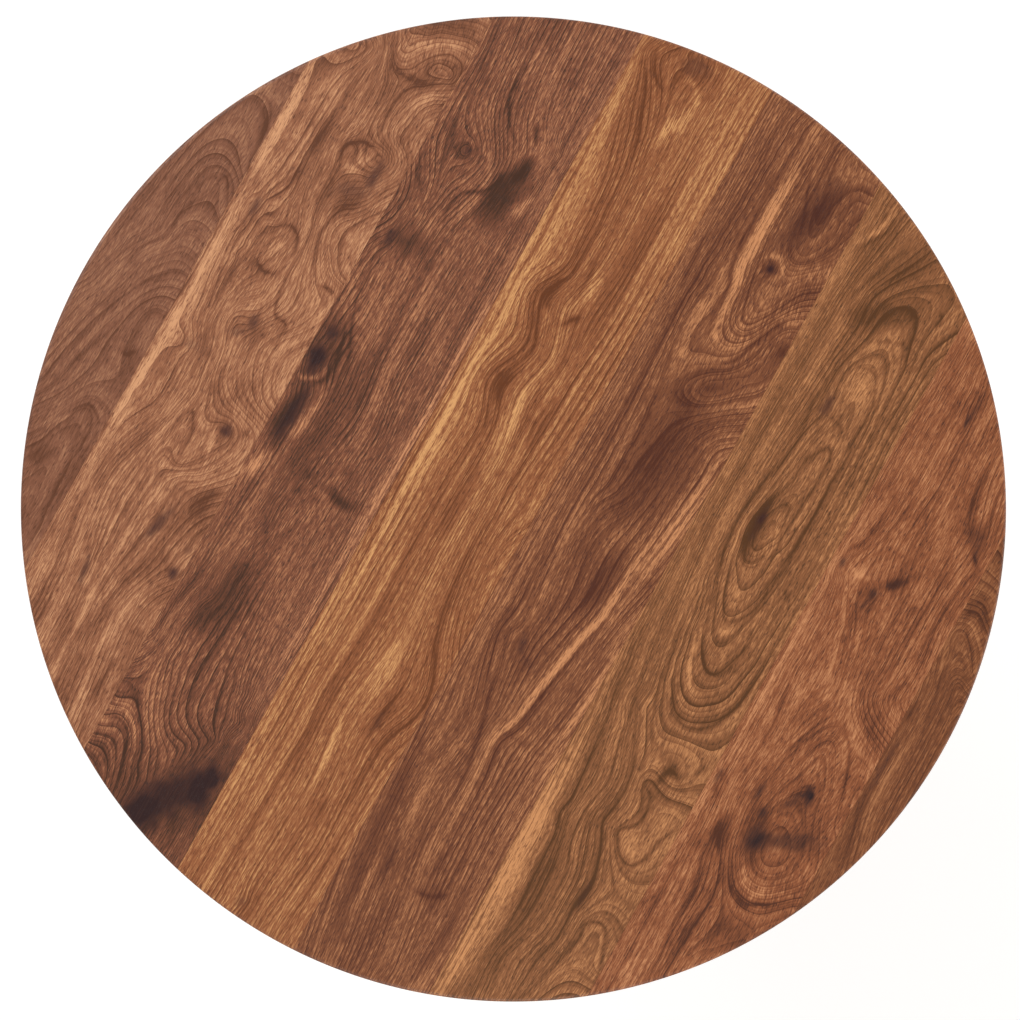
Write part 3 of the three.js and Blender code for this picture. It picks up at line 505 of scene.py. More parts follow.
boardFigure3 = {
    "near": 107.3, "far": 234.95, "slot": "walnut_dark", "seed": 0.59,
    "dark": "#472f22", "middle": "#82523d", "light": "#cf956d", "pit": "#35231b",
    "spacing": 3.6, "lines": 0.42, "bands": 0.55, "mottleAndSheen": 0.4, "fibres": 0.62,
    "ringLines": [
        [190, [(-313, 236), (-312, 222), (-328, 209), (-350, 194), (-395, 178)]],
        [199, [(-347, 234), (-341, 225), (-350, 209), (-368, 200), (-400, 191)]],
        [208, [(-371, 234), (-369, 225), (-385, 210), (-405, 203)]],
        [186, [(-380, 170), (-350, 184), (-320, 204), (-290, 213), (-243, 212), (-180, 204), (-100, 194),
               (0, 181)]],
        [174, [(-337, 158), (-333, 174), (-312, 188), (-261, 197), (-209, 192), (-141, 184), (0, 167)]],
        [160, [(-318, 134), (-312, 148), (-285, 159), (-227, 163), (-141, 160), (0, 150)]],
        [140, [(-290, 120), (-240, 134), (-140, 136), (0, 132)]],
        [120, [(-420, 118), (-200, 120), (0, 120), (430, 120)]],
        [228, [(-260, 232), (-120, 228), (-20, 226)]],
        [206, [(-200, 214), (-60, 203), (8, 200)]],
        [216, [(80, 223), (110, 221), (148, 222), (190, 207), (225, 209), (260, 224), (300, 226)]],
        [226, [(151, 231), (192, 216), (220, 219), (241, 231)]],
        [204, [(60, 202), (200, 198), (240, 188), (268, 182), (292, 198), (309, 207), (344, 210),
               (399, 216)]],
        [188, [(60, 186), (180, 184), (240, 170), (268, 168), (285, 176), (309, 187), (344, 193),
               (412, 197)]],
        [168, [(60, 166), (180, 162), (260, 148), (289, 148), (302, 156), (326, 166), (378, 171),
               (423, 173)]],
        [150, [(60, 148), (180, 144), (280, 132), (302, 131), (326, 142), (361, 149), (423, 152)]],
    ],
    "knots": [
        (-24, 219, 28, 7.5, -4, 0.8, 0), (-125, 190, 5, 3.5, 0, 0.4, 3), (32, 223, 13.5, 9, 0, 1.0, -10),
        (60, 223, 8, 6, 0, 0.75, 0), (163, 219, 10, 5, 0, 0.65, 5), (264, 196, 5, 3.5, 0, 0.5, 4),
        (-380, 147, 50, 19, -38, 0.88, 0), (-362, 121, 28, 10, 0, 0.6, 0), (-408, 158, 14, 19, 0, 0.6, 0),
    ],
    "strokes": [
        (-0.4, 2.2, [(-347, 234), (-341, 225), (-350, 209), (-368, 200), (-400, 191)]),
        (-0.4, 2.2, [(-313, 234), (-312, 222), (-328, 209), (-350, 194), (-395, 178)]),
        (-0.3, 2, [(-371, 234), (-369, 225), (-385, 210), (-405, 203)]),
        (0.35, 6, [(-331, 232), (-329, 220), (-340, 206), (-366, 190)]),
        (-0.2, 3, [(-258, 232), (-225, 226), (-182, 220)]),
        (0.55, 7, [(-93, 227), (-78, 222), (-55, 214)]),
        (0.35, 5, [(-55, 214), (-30, 206), (0, 201), (18, 199)]),
        (-0.25, 9, [(-52, 227), (-22, 224), (0, 220)]),
        (-0.25, 20, [(-244, 200), (-205, 194), (-160, 184)]),
        (-0.28, 6, [(-68, 160), (-70, 140), (-69, 120)]),
        (0.45, 4, [(-274, 113), (-150, 114), (-40, 113), (60, 113), (170, 113)]),
        (-0.45, 2.2, [(9, 222), (15, 211), (27, 206), (48, 208), (70, 215), (80, 223)]),
        (0.45, 3, [(16, 233), (12, 225), (20, 213), (34, 211)]),
        (-0.35, 2, [(0, 194), (45, 197), (76, 211), (113, 221), (148, 221), (172, 213)]),
        (-0.3, 2, [(206, 212), (225, 225), (249, 232)]),
        (-0.2, 12, [(160, 212), (166, 200), (172, 186)]),
        (0.35, 4.5, [(206, 175), (226, 168), (247, 166), (265, 172), (272, 182)]),
        (-0.4, 14, [(212, 152), (245, 148), (268, 143)]),
        (-0.4, 7, [(262, 146), (276, 143), (288, 140)]),
        (-0.45, 2.5, [(299, 144), (309, 150), (320, 154)]),
        (-0.4, 2.2, [(292, 158), (300, 170), (309, 178), (330, 187), (378, 189)]),
        (-0.4, 2.2, [(194, 188), (225, 182), (246, 161), (267, 152)]),
        (0.4, 5, [(234, 133), (244, 128), (254, 122)]),
        (-0.15, 16, [(-120, 200), (-40, 190), (60, 180)]),
        (0.18, 12, [(100, 230), (130, 222)]),
        (0.18, 12, [(330, 200), (380, 180)]),
    ],
}
boardFigure4 = {
    "near": -20.35, "far": 107.3, "slot": "walnut_light", "seed": 0.71,
    "dark": "#673c22", "middle": "#9a6241", "light": "#daa671", "pit": walnutPit,
    "spacing": 4.4, "lines": 0.42, "bands": 0.78, "mottleAndSheen": 0.22, "fibres": 0.62,
    "ringLines": [
        [102, [(-440, 102), (-200, 100), (0, 102), (200, 104), (430, 106)]],
        [72, [(-438, 71), (-328, 68), (-268, 65), (-222, 68), (-146, 62), (0, 60), (55, 59), (94, 72),
              (137, 57), (186, 71), (213, 57), (319, 59), (380, 77), (426, 98)]],
        [42, [(-430, 42), (-310, 36), (-240, 41), (-160, 34), (-60, 38), (36, 36), (94, 46), (137, 38),
              (186, 50), (237, 38), (330, 40), (430, 44)]],
        [6, [(-430, 8), (-359, 1), (-252, 1), (-213, -13), (-182, -14), (-115, 8), (0, 17), (200, 12),
             (430, 12)]],
        [-14, [(-430, -14), (-330, -16)]],
        [-14, [(0, -15), (200, -15), (430, -14)]],
    ],
    "knots": [
        (-435, 43, 6, 5, 0, 0.3, 5), (-298, 100, 3, 2.5, 0, 0.3, 0), (-192, 91, 3, 2.5, 0, 0.3, 0),
        (432, 51, 9, 13, 0, 0.4, 6), (-228, 13, 14, 3.5, -8, 0.3, 0),
    ],
    "strokes": [
        (0.3, 9, [(-440, 94), (-300, 95), (-150, 96), (0, 97), (200, 98), (420, 100)]),
        (-0.35, 2, [(-438, 71), (-328, 68), (-268, 65), (-222, 68), (-146, 62), (0, 60)]),
        (-0.28, 2, [(-400, 64), (-300, 60), (-200, 61), (-100, 56)]),
        (-0.25, 2, [(-430, 82), (-300, 80), (-180, 78), (-60, 74)]),
        (0.3, 8, [(-213, 36), (-185, 33), (-155, 31)]),
        (0.25, 5, [(-310, 36), (-243, 41)]),
        (-0.45, 3.5, [(-245, 17), (-228, 14), (-208, 11), (-188, 8)]),
        (-0.4, 2, [(-359, 1), (-252, 1), (-213, -14), (-182, -15), (-115, 10), (0, 19)]),
        (-0.3, 2, [(-341, 19), (-313, 19)]),
        (-0.5, 2.4, [(20, 55), (55, 59), (75, 66), (94, 72), (115, 64), (137, 57), (160, 64), (186, 71),
                     (200, 64), (213, 57), (270, 58), (319, 59)]),
        (-0.3, 2, [(30, 64), (60, 66), (94, 79), (137, 64), (186, 78), (225, 64), (300, 66)]),
        (-0.3, 2, [(40, 50), (70, 54), (94, 63), (125, 52)]),
        (-0.35, 5, [(78, 62), (94, 66), (110, 61)]),
        (-0.35, 5, [(175, 62), (188, 66), (204, 60)]),
        (0.3, 7, [(36, 42), (70, 41), (106, 45)]),
        (-0.5, 3.5, [(166, 45), (174, 38), (182, 30)]),
        (-0.35, 2, [(182, 48), (210, 44), (237, 45)]),
        (0.3, 5, [(192, 33), (208, 34), (224, 31)]),
        (-0.4, 2, [(46, 18), (80, 20), (113, 18)]),
        (-0.3, 2, [(46, 13), (80, 14), (113, 12)]),
        (-0.45, 2.2, [(319, 59), (350, 66), (380, 77), (426, 98)]),
        (-0.45, 2.8, [(398, 66), (407, 79), (432, 91)]),
        (0.4, 7, [(352, 53), (376, 42), (401, 32)]),
        (0.3, 4, [(400, 32), (414, 44), (424, 55)]),
        (0.25, 2, [(316, -16), (380, -17), (438, -16)]),
        (-0.15, 4, [(-430, -5), (-300, -12)]),
        (-0.15, 8, [(-60, 48), (20, 46)]),
        (-0.16, 10, [(120, 22), (220, 20), (330, 18)]),
    ],
}
boardFigure5 = {
    "near": -148.0, "far": -20.35, "slot": "walnut_dark", "seed": 0.23,
    "dark": "#553018", "middle": "#84543a", "light": "#cd9267", "pit": walnutPit,
    "spacing": 3.8, "lines": 0.42, "bands": 0.65, "mottleAndSheen": 0.3, "fibres": 0.62,
    "ringLines": [
        [-30, [(-450, -51), (-328, -33), (-207, -25), (0, -23), (200, -26), (430, -26)]],
        [-60, [(-425, -78), (-365, -69), (-304, -62), (-250, -58), (-210, -66), (-176, -68), (-128, -58),
               (-100, -51), (-79, -57), (0, -51), (120, -50), (249, -46), (310, -48), (430, -50)]],
        [-92, [(-420, -108), (-310, -92), (-237, -89), (-191, -86), (-176, -92), (-121, -101), (-70, -111),
               (-45, -118), (0, -121), (60, -128), (140, -136)]],
        [-70, [(441, -69), (307, -69), (274, -77), (219, -80), (208, -92), (213, -106), (231, -116),
               (259, -127), (274, -138)]],
        [-84, [(420, -84), (330, -84), (262, -95), (250, -104), (270, -118), (300, -132)]],
        [-66, [(60, -70), (130, -72), (180, -72)]],
        [-96, [(430, -98), (350, -104), (325, -114), (340, -128), (400, -138)]],
        [-63, [(180, -98), (200, -120), (230, -142)]],
        [-112, [(-430, -122), (-292, -116), (-200, -118), (-120, -130), (-40, -140)]],
        [-136, [(-430, -142), (-200, -144)]],
    ],
    "knots": [
        (-103, -67, 9, 4, 8, 0.55, 3), (-117, -82, 6, 10, 0, 0.25, 0), (306, -98, 4.5, 4, 0, 1.0, 5),
        (-331, -58, 30, 4, 5, 0.2, 0), (366, -106, 42, 15, -12, 0.25, 0),
    ],
    "strokes": [
        (-0.25, 7, [(-450, -53), (-328, -35), (-207, -27)]),
        (0.3, 5, [(-398, -50), (-360, -49), (-328, -47)]),
        (0.25, 4, [(-425, -70), (-365, -62), (-304, -56), (-243, -46)]),
        (-0.3, 4, [(-365, -60), (-330, -58), (-298, -55)]),
        (-0.4, 2, [(-350, -86), (-304, -78), (-243, -80), (-204, -74), (-176, -68), (-128, -58), (-100, -51),
                   (-79, -57), (0, -51)]),
        (-0.3, 2, [(-180, -60), (-140, -50), (-100, -44), (-70, -48), (0, -44)]),
        (0.5, 3.5, [(-307, -93), (-237, -90), (-191, -86), (-176, -93), (-121, -102), (-70, -112),
                    (-45, -119), (0, -121), (50, -124)]),
        (-0.4, 2, [(-243, -97), (-192, -93), (-172, -101), (-110, -110), (-60, -120), (0, -130)]),
        (-0.4, 4, [(-350, -90), (-345, -105), (-337, -121)]),
        (-0.3, 2, [(-337, -98), (-310, -100), (-290, -106)]),
        (-0.3, 2, [(-345, -112), (-320, -117), (-292, -115), (-255, -106)]),
        (-0.25, 10, [(-55, -99), (-20, -103), (18, -105)]),
        (0.28, 8, [(0, -134), (70, -138), (137, -140)]),
        (0.28, 4, [(-274, -143), (-150, -144), (0, -144)]),
        (-0.28, 26, [(35, -84), (100, -92), (200, -92)]),
        (-0.4, 2, [(249, -34), (292, -31), (310, -33)]),
        (-0.25, 2, [(60, -44), (160, -42), (260, -42), (400, -45)]),
        (-0.4, 2.2, [(212, -76), (240, -74), (274, -71), (307, -63), (441, -63)]),
        (0.5, 4.5, [(212, -86), (240, -81), (274, -79), (307, -73), (400, -74)]),
        (0.3, 8, [(274, -76), (330, -76), (395, -76)]),
        (0.2, 14, [(222, -96), (250, -104), (290, -112)]),
        (-0.5, 2.6, [(207, -95), (213, -106), (231, -116), (259, -127), (274, -136)]),
        (0.35, 3, [(294, -98), (297, -89), (306, -86), (315, -90), (318, -98), (314, -107), (306, -110),
                   (298, -106), (294, -98)]),
        (-0.25, 12, [(325, -98), (360, -106), (405, -118)]),
        (-0.35, 2, [(401, -86), (377, -96), (346, -108)]),
        (-0.25, 6, [(-420, -130), (-380, -134), (-300, -132)]),
    ],
}
boardFigure6 = {
    "near": -275.65, "far": -148.0, "slot": "walnut_mid", "seed": 0.83,
    "dark": "#5a3b1e", "middle": "#8f5f3f", "light": "#d09667", "pit": walnutPit,
    "spacing": 4.4, "lines": 0.38, "bands": 0.6, "mottleAndSheen": 0.35, "fibres": 0.6,
    "ringLines": [
        [-158, [(-430, -158), (-300, -158), (-120, -152)]],
        [-176, [(-410, -177), (-368, -176), (-328, -181), (-280, -180), (-240, -178), (-220, -172),
                (-207, -175), (-167, -173), (-115, -166), (-55, -157), (60, -152)]],
        [-196, [(-395, -194), (-359, -191), (-322, -203), (-268, -204), (-240, -194), (-207, -191),
                (-176, -197), (-146, -191), (-85, -178), (0, -166), (100, -160), (300, -164), (420, -176)]],
        [-216, [(-389, -218), (-350, -219), (-322, -225), (-292, -225), (-267, -228), (-240, -223),
                (-223, -216), (-210, -210), (-188, -213), (-161, -212), (-134, -203), (-100, -188)]],
        [-233, [(-388, -226), (-347, -236), (-319, -242), (-298, -243), (-290, -254), (-301, -265),
                (-328, -273)]],
        [-226, [(-268, -246), (-262, -258), (-268, -272)]],
        [-234, [(-213, -247), (-200, -254), (-184, -253)]],
        [-233, [(-175, -273), (-200, -265), (-223, -260), (-233, -250), (-225, -236), (-210, -227),
                (-197, -239), (-182, -241), (-167, -236), (-160, -227)]],
        [-224, [(-134, -262), (-145, -252), (-141, -238), (-128, -227), (-121, -215), (-106, -206),
                (-70, -194), (0, -181), (100, -173), (222, -178), (330, -184)]],
        [-230, [(300, -266), (100, -269), (0, -268), (-58, -265), (-85, -254), (-96, -239), (-94, -224),
                (-82, -212), (-55, -200), (0, -191), (100, -179), (222, -184), (300, -190)]],
        [-236, [(280, -258), (100, -260), (0, -257), (-55, -248), (-64, -239), (-70, -231), (-62, -218),
                (-40, -208), (0, -199)]],
        [-242, [(285, -248), (200, -252), (100, -253), (0, -248), (-18, -245), (-39, -239), (-45, -230),
                (-39, -221), (-18, -209), (0, -204), (24, -196), (61, -186), (100, -184)]],
        [-250, [(255, -206), (267, -212), (269, -224), (258, -235), (228, -241), (182, -242), (121, -243),
                (61, -241), (24, -235), (6, -221), (24, -206), (61, -196)]],
        [-258, [(61, -201), (100, -198), (143, -209), (188, -222), (152, -230), (106, -228), (58, -213)]],
        [-264, [(82, -215), (100, -220), (116, -214)]],
    ],
    "knots": [
        (97, -202, 18, 5, 4, 0.4, 0), (103, -203, 5, 4, 0, 0.4, 0), (223, -204, 11, 5, 0, 0.6, 3),
        (-274, -228, 16, 2.5, 0, 0.3, 0),
    ],
    "strokes": [
        (0.5, 9, [(-424, -158), (-300, -157), (-146, -154)]),
        (-0.35, 2.2, [(-410, -177), (-368, -176), (-328, -181), (-280, -180), (-240, -178), (-220, -172),
                      (-207, -175), (-167, -173), (-115, -166), (-55, -155)]),
        (-0.18, 9, [(-400, -186), (-330, -190), (-260, -190), (-215, -182)]),
        (-0.3, 2, [(-395, -194), (-359, -191), (-322, -203), (-268, -204), (-240, -194), (-207, -191),
                   (-176, -197), (-146, -191), (-85, -178), (0, -166)]),
        (-0.45, 2.4, [(-389, -218), (-350, -219), (-322, -225), (-292, -225), (-267, -228), (-240, -223),
                      (-223, -216), (-210, -210), (-188, -213), (-161, -212), (-134, -203), (-100, -185)]),
        (-0.4, 3.5, [(-292, -227), (-275, -229), (-255, -227)]),
        (-0.4, 2, [(-388, -226), (-347, -236), (-319, -242), (-298, -243), (-290, -254), (-301, -265),
                   (-328, -273), (-350, -275)]),
        (-0.4, 2.2, [(-175, -273), (-200, -265), (-223, -260), (-233, -250), (-225, -236), (-210, -227),
                     (-197, -239), (-182, -241), (-167, -236), (-160, -227), (-143, -224)]),
        (-0.55, 4, [(-158, -236), (-143, -239), (-140, -248), (-146, -254)]),
        (-0.4, 2.4, [(-134, -260), (-118, -268)]),
        (-0.4, 2.6, [(-128, -227), (-121, -215), (-106, -206), (-70, -194), (0, -181)]),
        (-0.5, 3.2, [(0, -268), (-58, -265), (-85, -254), (-96, -239), (-94, -224), (-82, -212),
                     (-55, -200)]),
        (0.35, 4, [(-55, -250), (-68, -238), (-68, -226), (-52, -212), (0, -200)]),
        (-0.4, 2.2, [(0, -248), (-18, -245), (-39, -239), (-45, -230), (-39, -221), (-18, -209), (0, -204)]),
        (0.4, 5, [(-14, -214), (-6, -222), (0, -230)]),
        (-0.4, 2.2, [(0, -210), (24, -198), (61, -187), (100, -184), (137, -189), (182, -195), (207, -192),
                     (222, -190), (243, -194), (283, -201), (292, -206)]),
        (0.3, 3, [(10, -208), (40, -196), (90, -191), (140, -196)]),
        (-0.45, 2.4, [(237, -204), (255, -206), (267, -212), (269, -224), (258, -235), (228, -241),
                      (182, -242), (121, -243), (61, -241), (24, -235), (6, -221), (24, -206), (61, -196)]),
        (-0.4, 2.2, [(61, -201), (100, -198), (121, -201), (143, -209), (170, -213), (188, -222), (182, -229),
                     (152, -230), (106, -228), (70, -224), (58, -213), (61, -201)]),
        (-0.45, 5, [(60, -205), (80, -199), (103, -200), (125, -203)]),
        (0.35, 6, [(82, -216), (100, -219), (116, -216)]),
        (-0.35, 2.2, [(216, -213), (210, -224), (198, -227)]),
        (0.25, 8, [(228, -222), (245, -222), (260, -216)]),
        (-0.25, 2, [(292, -206), (301, -227), (304, -239), (286, -242)]),
        (-0.3, 13, [(298, -176), (316, -205), (345, -240)]),
        (-0.15, 25, [(340, -190), (370, -205), (395, -215)]),
        (-0.3, 2, [(305, -172), (350, -186), (400, -204)]),
        (-0.25, 2, [(310, -184), (350, -200), (390, -218)]),
        (0.4, 2.5, [(359, -151), (383, -166), (413, -175)]),
        (-0.3, 2, [(352, -154), (380, -171), (410, -181)]),
        (-0.35, 2, [(331, -256), (340, -257), (346, -252)]),
    ],
}
boardFigure7 = {
    "near": -403.3, "far": -275.65, "slot": "walnut_mid", "seed": 0.47,
    "dark": "#533118", "middle": "#91593b", "light": "#cc9269", "pit": "#301a12",
    "spacing": 4.6, "lines": 0.32, "bands": 0.52, "mottleAndSheen": 0.75, "fibres": 0.6,
    "ringLines": [
        [-284, [(-350, -284), (-200, -284), (-60, -282), (200, -284), (340, -286)]],
        [-312, [(-319, -318), (-267, -314), (-222, -314), (-191, -306), (-158, -303), (-120, -297),
                (-60, -300), (0, -296), (61, -296), (90, -288), (105, -285), (128, -292), (152, -297),
                (188, -300), (340, -300)]],
        [-333, [(-260, -352), (-232, -362), (-226, -380)]],
        [-326, [(-304, -327), (-255, -327), (-219, -330), (-191, -322), (-168, -312)]],
        [-340, [(-188, -397), (-207, -373), (-210, -358), (-204, -343), (-185, -330), (-160, -322),
                (-120, -318), (-61, -333), (-39, -342), (-24, -355), (-45, -376), (-85, -391), (-109, -400)]],
        [-352, [(-172, -392), (-190, -372), (-194, -358), (-188, -346), (-174, -336)]],
        [-350, [(-85, -340), (-60, -346), (-45, -356), (-60, -366), (-85, -376)]],
        [-330, [(0, -333), (30, -327), (61, -318), (76, -310), (100, -304), (122, -308), (182, -315),
                (213, -318), (300, -316)]],
        [-372, [(10, -374), (60, -373), (160, -372), (195, -367), (231, -361), (265, -359)]],
        [-392, [(18, -394), (55, -394), (100, -389), (137, -392)]],
    ],
    "knots": [
        (-121, -282, 8, 2.5, 0, 0.5, 0), (-106, -301, 3, 2, 0, 0.4, 0), (-115, -322, 11, 2.5, -6, 0.6, 0),
        (-131, -334, 5, 4, 0, 0.7, 0), (-108, -353, 11, 4, -25, 0.5, 0), (-97, -363, 9, 5, 20, 0.8, 0),
        (-96, -365, 3.5, 3, 0, 0.4, 0), (-154, -339, 15, 8, -10, 0.6, 0), (-143, -366, 33, 9, -62, 0.55, 0),
        (104, -286, 6, 2.5, 0, 0.65, 3), (81, -322, 9, 2.5, -10, 0.45, 0), (93, -324, 5, 4, 0, 0.7, 4),
        (110, -338, 11, 5, -42, 0.35, 0), (271, -323, 8, 2, 3, 0.65, 3), (281, -323, 22, 2.5, 0, 0.25, 0),
        (165, -390, 6, 3, 20, 0.4, 0), (183, -382, 14, 8, 20, 0.2, 4),
    ],
    "strokes": [
        (0.35, 5, [(-345, -281), (-240, -281), (-140, -280), (0, -281), (200, -281)]),
        (0.2, 10, [(-353, -292), (-320, -298), (-286, -300)]),
        (-0.4, 2.2, [(-319, -318), (-267, -314), (-222, -314), (-191, -305), (-158, -303)]),
        (-0.4, 2.2, [(-304, -327), (-255, -327), (-219, -330), (-191, -323), (-170, -309), (-155, -304)]),
        (-0.3, 7, [(-180, -318), (-165, -308), (-150, -305)]),
        (-0.55, 4, [(-188, -397), (-207, -373), (-210, -358), (-204, -343), (-185, -330), (-170, -323)]),
        (0.35, 4, [(-180, -392), (-197, -372), (-198, -358), (-188, -346), (-176, -337)]),
        (0.3, 4, [(-146, -352), (-140, -356), (-136, -361)]),
        (0.45, 3, [(-119, -312), (-112, -312)]),
        (0.4, 3, [(-128, -352), (-126, -357)]),
        (0.3, 10, [(-88, -354), (-70, -352), (-56, -356)]),
        (-0.3, 2, [(-24, -355), (-39, -342), (-61, -333), (-85, -333)]),
        (-0.3, 2, [(-24, -358), (-45, -376), (-85, -391), (-109, -400)]),
        (-0.25, 2, [(-40, -356), (-56, -345), (-80, -342)]),
        (-0.3, 2, [(-100, -300), (-55, -302), (0, -295)]),
        (-0.25, 2, [(-104, -327), (-70, -328), (-40, -336), (0, -350)]),
        (-0.3, 2, [(0, -333), (30, -327), (61, -318), (76, -310), (84, -296)]),
        (-0.3, 2, [(118, -316), (137, -309), (182, -315), (213, -318)]),
        (-0.35, 2, [(100, -282), (116, -286), (128, -294), (152, -297), (188, -300)]),
        (0.35, 3.5, [(105, -294), (103, -304), (102, -314)]),
        (0.35, 2.5, [(90, -327), (97, -329)]),
        (-0.3, 5, [(103, -330), (110, -338), (118, -346)]),
        (0.25, 8, [(260, -334), (274, -337), (288, -334)]),
        (-0.4, 2.2, [(182, -376), (195, -367), (231, -361), (265, -359)]),
        (-0.35, 2, [(160, -398), (166, -389), (172, -386)]),
        (-0.35, 2.2, [(188, -391), (219, -381), (243, -379)]),
        (-0.25, 10, [(170, -394), (182, -384), (192, -374)]),
        (-0.35, 2.2, [(55, -394), (100, -388), (137, -391), (164, -400)]),
        (-0.3, 3, [(18, -385), (32, -388), (44, -387)]),
        (-0.25, 2, [(0, -374), (60, -373), (150, -372)]),
        (-0.15, 16, [(-230, -350), (-245, -366)]),
    ],
}
boardFigure8 = {
    "near": -450.5, "far": -403.3, "slot": "walnut_dark", "seed": 0.91,
    "dark": "#533218", "middle": "#7d4e33", "light": "#af7953", "pit": walnutPit,
    "spacing": 3.2, "lines": 0.38, "bands": 0.5, "mottleAndSheen": 0.3, "fibres": 0.6,
    "ringLines": [
        [-412, [(-149, -422), (-115, -416), (-85, -410), (-55, -407), (0, -408)]],
        [-424, [(-120, -430), (-76, -420), (0, -419), (40, -418), (58, -414), (79, -410)]],
        [-438, [(-100, -438), (0, -436), (60, -432)]],
        [-424, [(102, -406), (106, -413), (91, -428), (70, -440)]],
        [-412, [(119, -406), (122, -418), (110, -431)]],
        [-400, [(140, -404), (139, -420), (126, -430)]],
        [-388, [(180, -404), (170, -418)]],
    ],
    "knots": [(-40, -409, 28, 2.5, -2, 0.4, 0)],
    "strokes": [
        (-0.35, 2, [(-149, -422), (-115, -416), (-85, -410), (-55, -407)]),
        (0.35, 3.5, [(-106, -422), (-70, -417), (0, -419)]),
        (-0.35, 2, [(0, -424), (40, -420), (62, -416), (84, -420), (70, -430)]),
        (0.35, 4, [(58, -410), (68, -415), (78, -421)]),
        (-0.35, 2, [(100, -406), (106, -413), (91, -428), (70, -440)]),
        (-0.45, 2.4, [(119, -407), (122, -418), (110, -431)]),
        (-0.45, 2.4, [(131, -406), (131, -418), (119, -430)]),
        (-0.35, 2, [(140, -406), (138, -421)]),
        (-0.35, 3, [(116, -406), (124, -412)]),
        (0.3, 4, [(112, -410), (112, -418), (100, -428)]),
        (-0.35, 2, [(4, -407), (28, -409)]),
    ],
}
boardFigures = (boardFigure1, boardFigure2, boardFigure3, boardFigure4, boardFigure5, boardFigure6,
                boardFigure7, boardFigure8)


def smoothNoise(u, v, seed):
    # smooth value noise from -1 to 1 on a seeded lattice
    size = drawing["latticeSize"]
    lattice = np.random.default_rng(seed).random((size, size)) * 2 - 1
    iu, iv = np.floor(u).astype(int), np.floor(v).astype(int)
    fu, fv = u - iu, v - iv
    fu, fv = fu * fu * (3 - 2 * fu), fv * fv * (3 - 2 * fv)

    def corner(a, b):
        return lattice[(iu + a) % size, (iv + b) % size]
    low = corner(0, 0) * (1 - fu) + corner(1, 0) * fu
    high = corner(0, 1) * (1 - fu) + corner(1, 1) * fu
    return low * (1 - fv) + high * fv


def smoothLine(points, step):
    # a Catmull-Rom line through the points, at about that step in millimetres
    p = np.array(points, float)
    if len(p) == 2:
        count = max(2, int(np.hypot(*(p[1] - p[0])) / step))
        return p[0] + (p[1] - p[0]) * np.linspace(0, 1, count)[:, None]
    ends = np.vstack([2 * p[0] - p[1], p, 2 * p[-1] - p[-2]])
    out = []
    for a, b, c, d in zip(ends, ends[1:], ends[2:], ends[3:]):
        count = max(2, int(np.hypot(*(c - b)) / step))
        t = np.linspace(0, 1, count, endpoint=False)[:, None]
        out.append(0.5 * (2 * b + (c - a) * t + (2 * a - 5 * b + 4 * c - d) * t ** 2
                          + (3 * b - a - 3 * c + d) * t ** 3))
    return np.vstack(out + [p[-1:]])


def ringSpline(lines, x, y):
    # a thin-plate surface through the ring lines, so that rings run along them
    stretch = drawing["ringStretch"]
    spots = np.array([(px, py, value) for value, points in lines
                      for px, py in smoothLine(points, drawing["guideStep"])])
    known, values = spots[:, :2] / stretch, spots[:, 2]
    count = len(known)

    def bend(distance):
        return distance ** 2 * np.log(np.maximum(distance, 1e-6))
    apart = np.hypot(known[:, None, 0] - known[None, :, 0], known[:, None, 1] - known[None, :, 1])
    flat = np.hstack([np.ones((count, 1)), known])
    matrix = np.zeros((count + 3, count + 3))
    matrix[:count, :count] = bend(apart) + drawing["ringEase"] * np.eye(count)
    matrix[:count, count:] = flat
    matrix[count:, :count] = flat.T
    weights = np.linalg.solve(matrix, np.concatenate([values, np.zeros(3)]))
    out = weights[count] + weights[count + 1] * x / stretch + weights[count + 2] * y / stretch
    batch = 4000  # so that the distances fit in memory
    for start in range(0, len(x), batch):
        part = slice(start, start + batch)
        d = np.hypot(x[part, None] / stretch - known[None, :, 0], y[part, None] / stretch - known[None, :, 1])
        out[part] += bend(d) @ weights[:count]
    return out


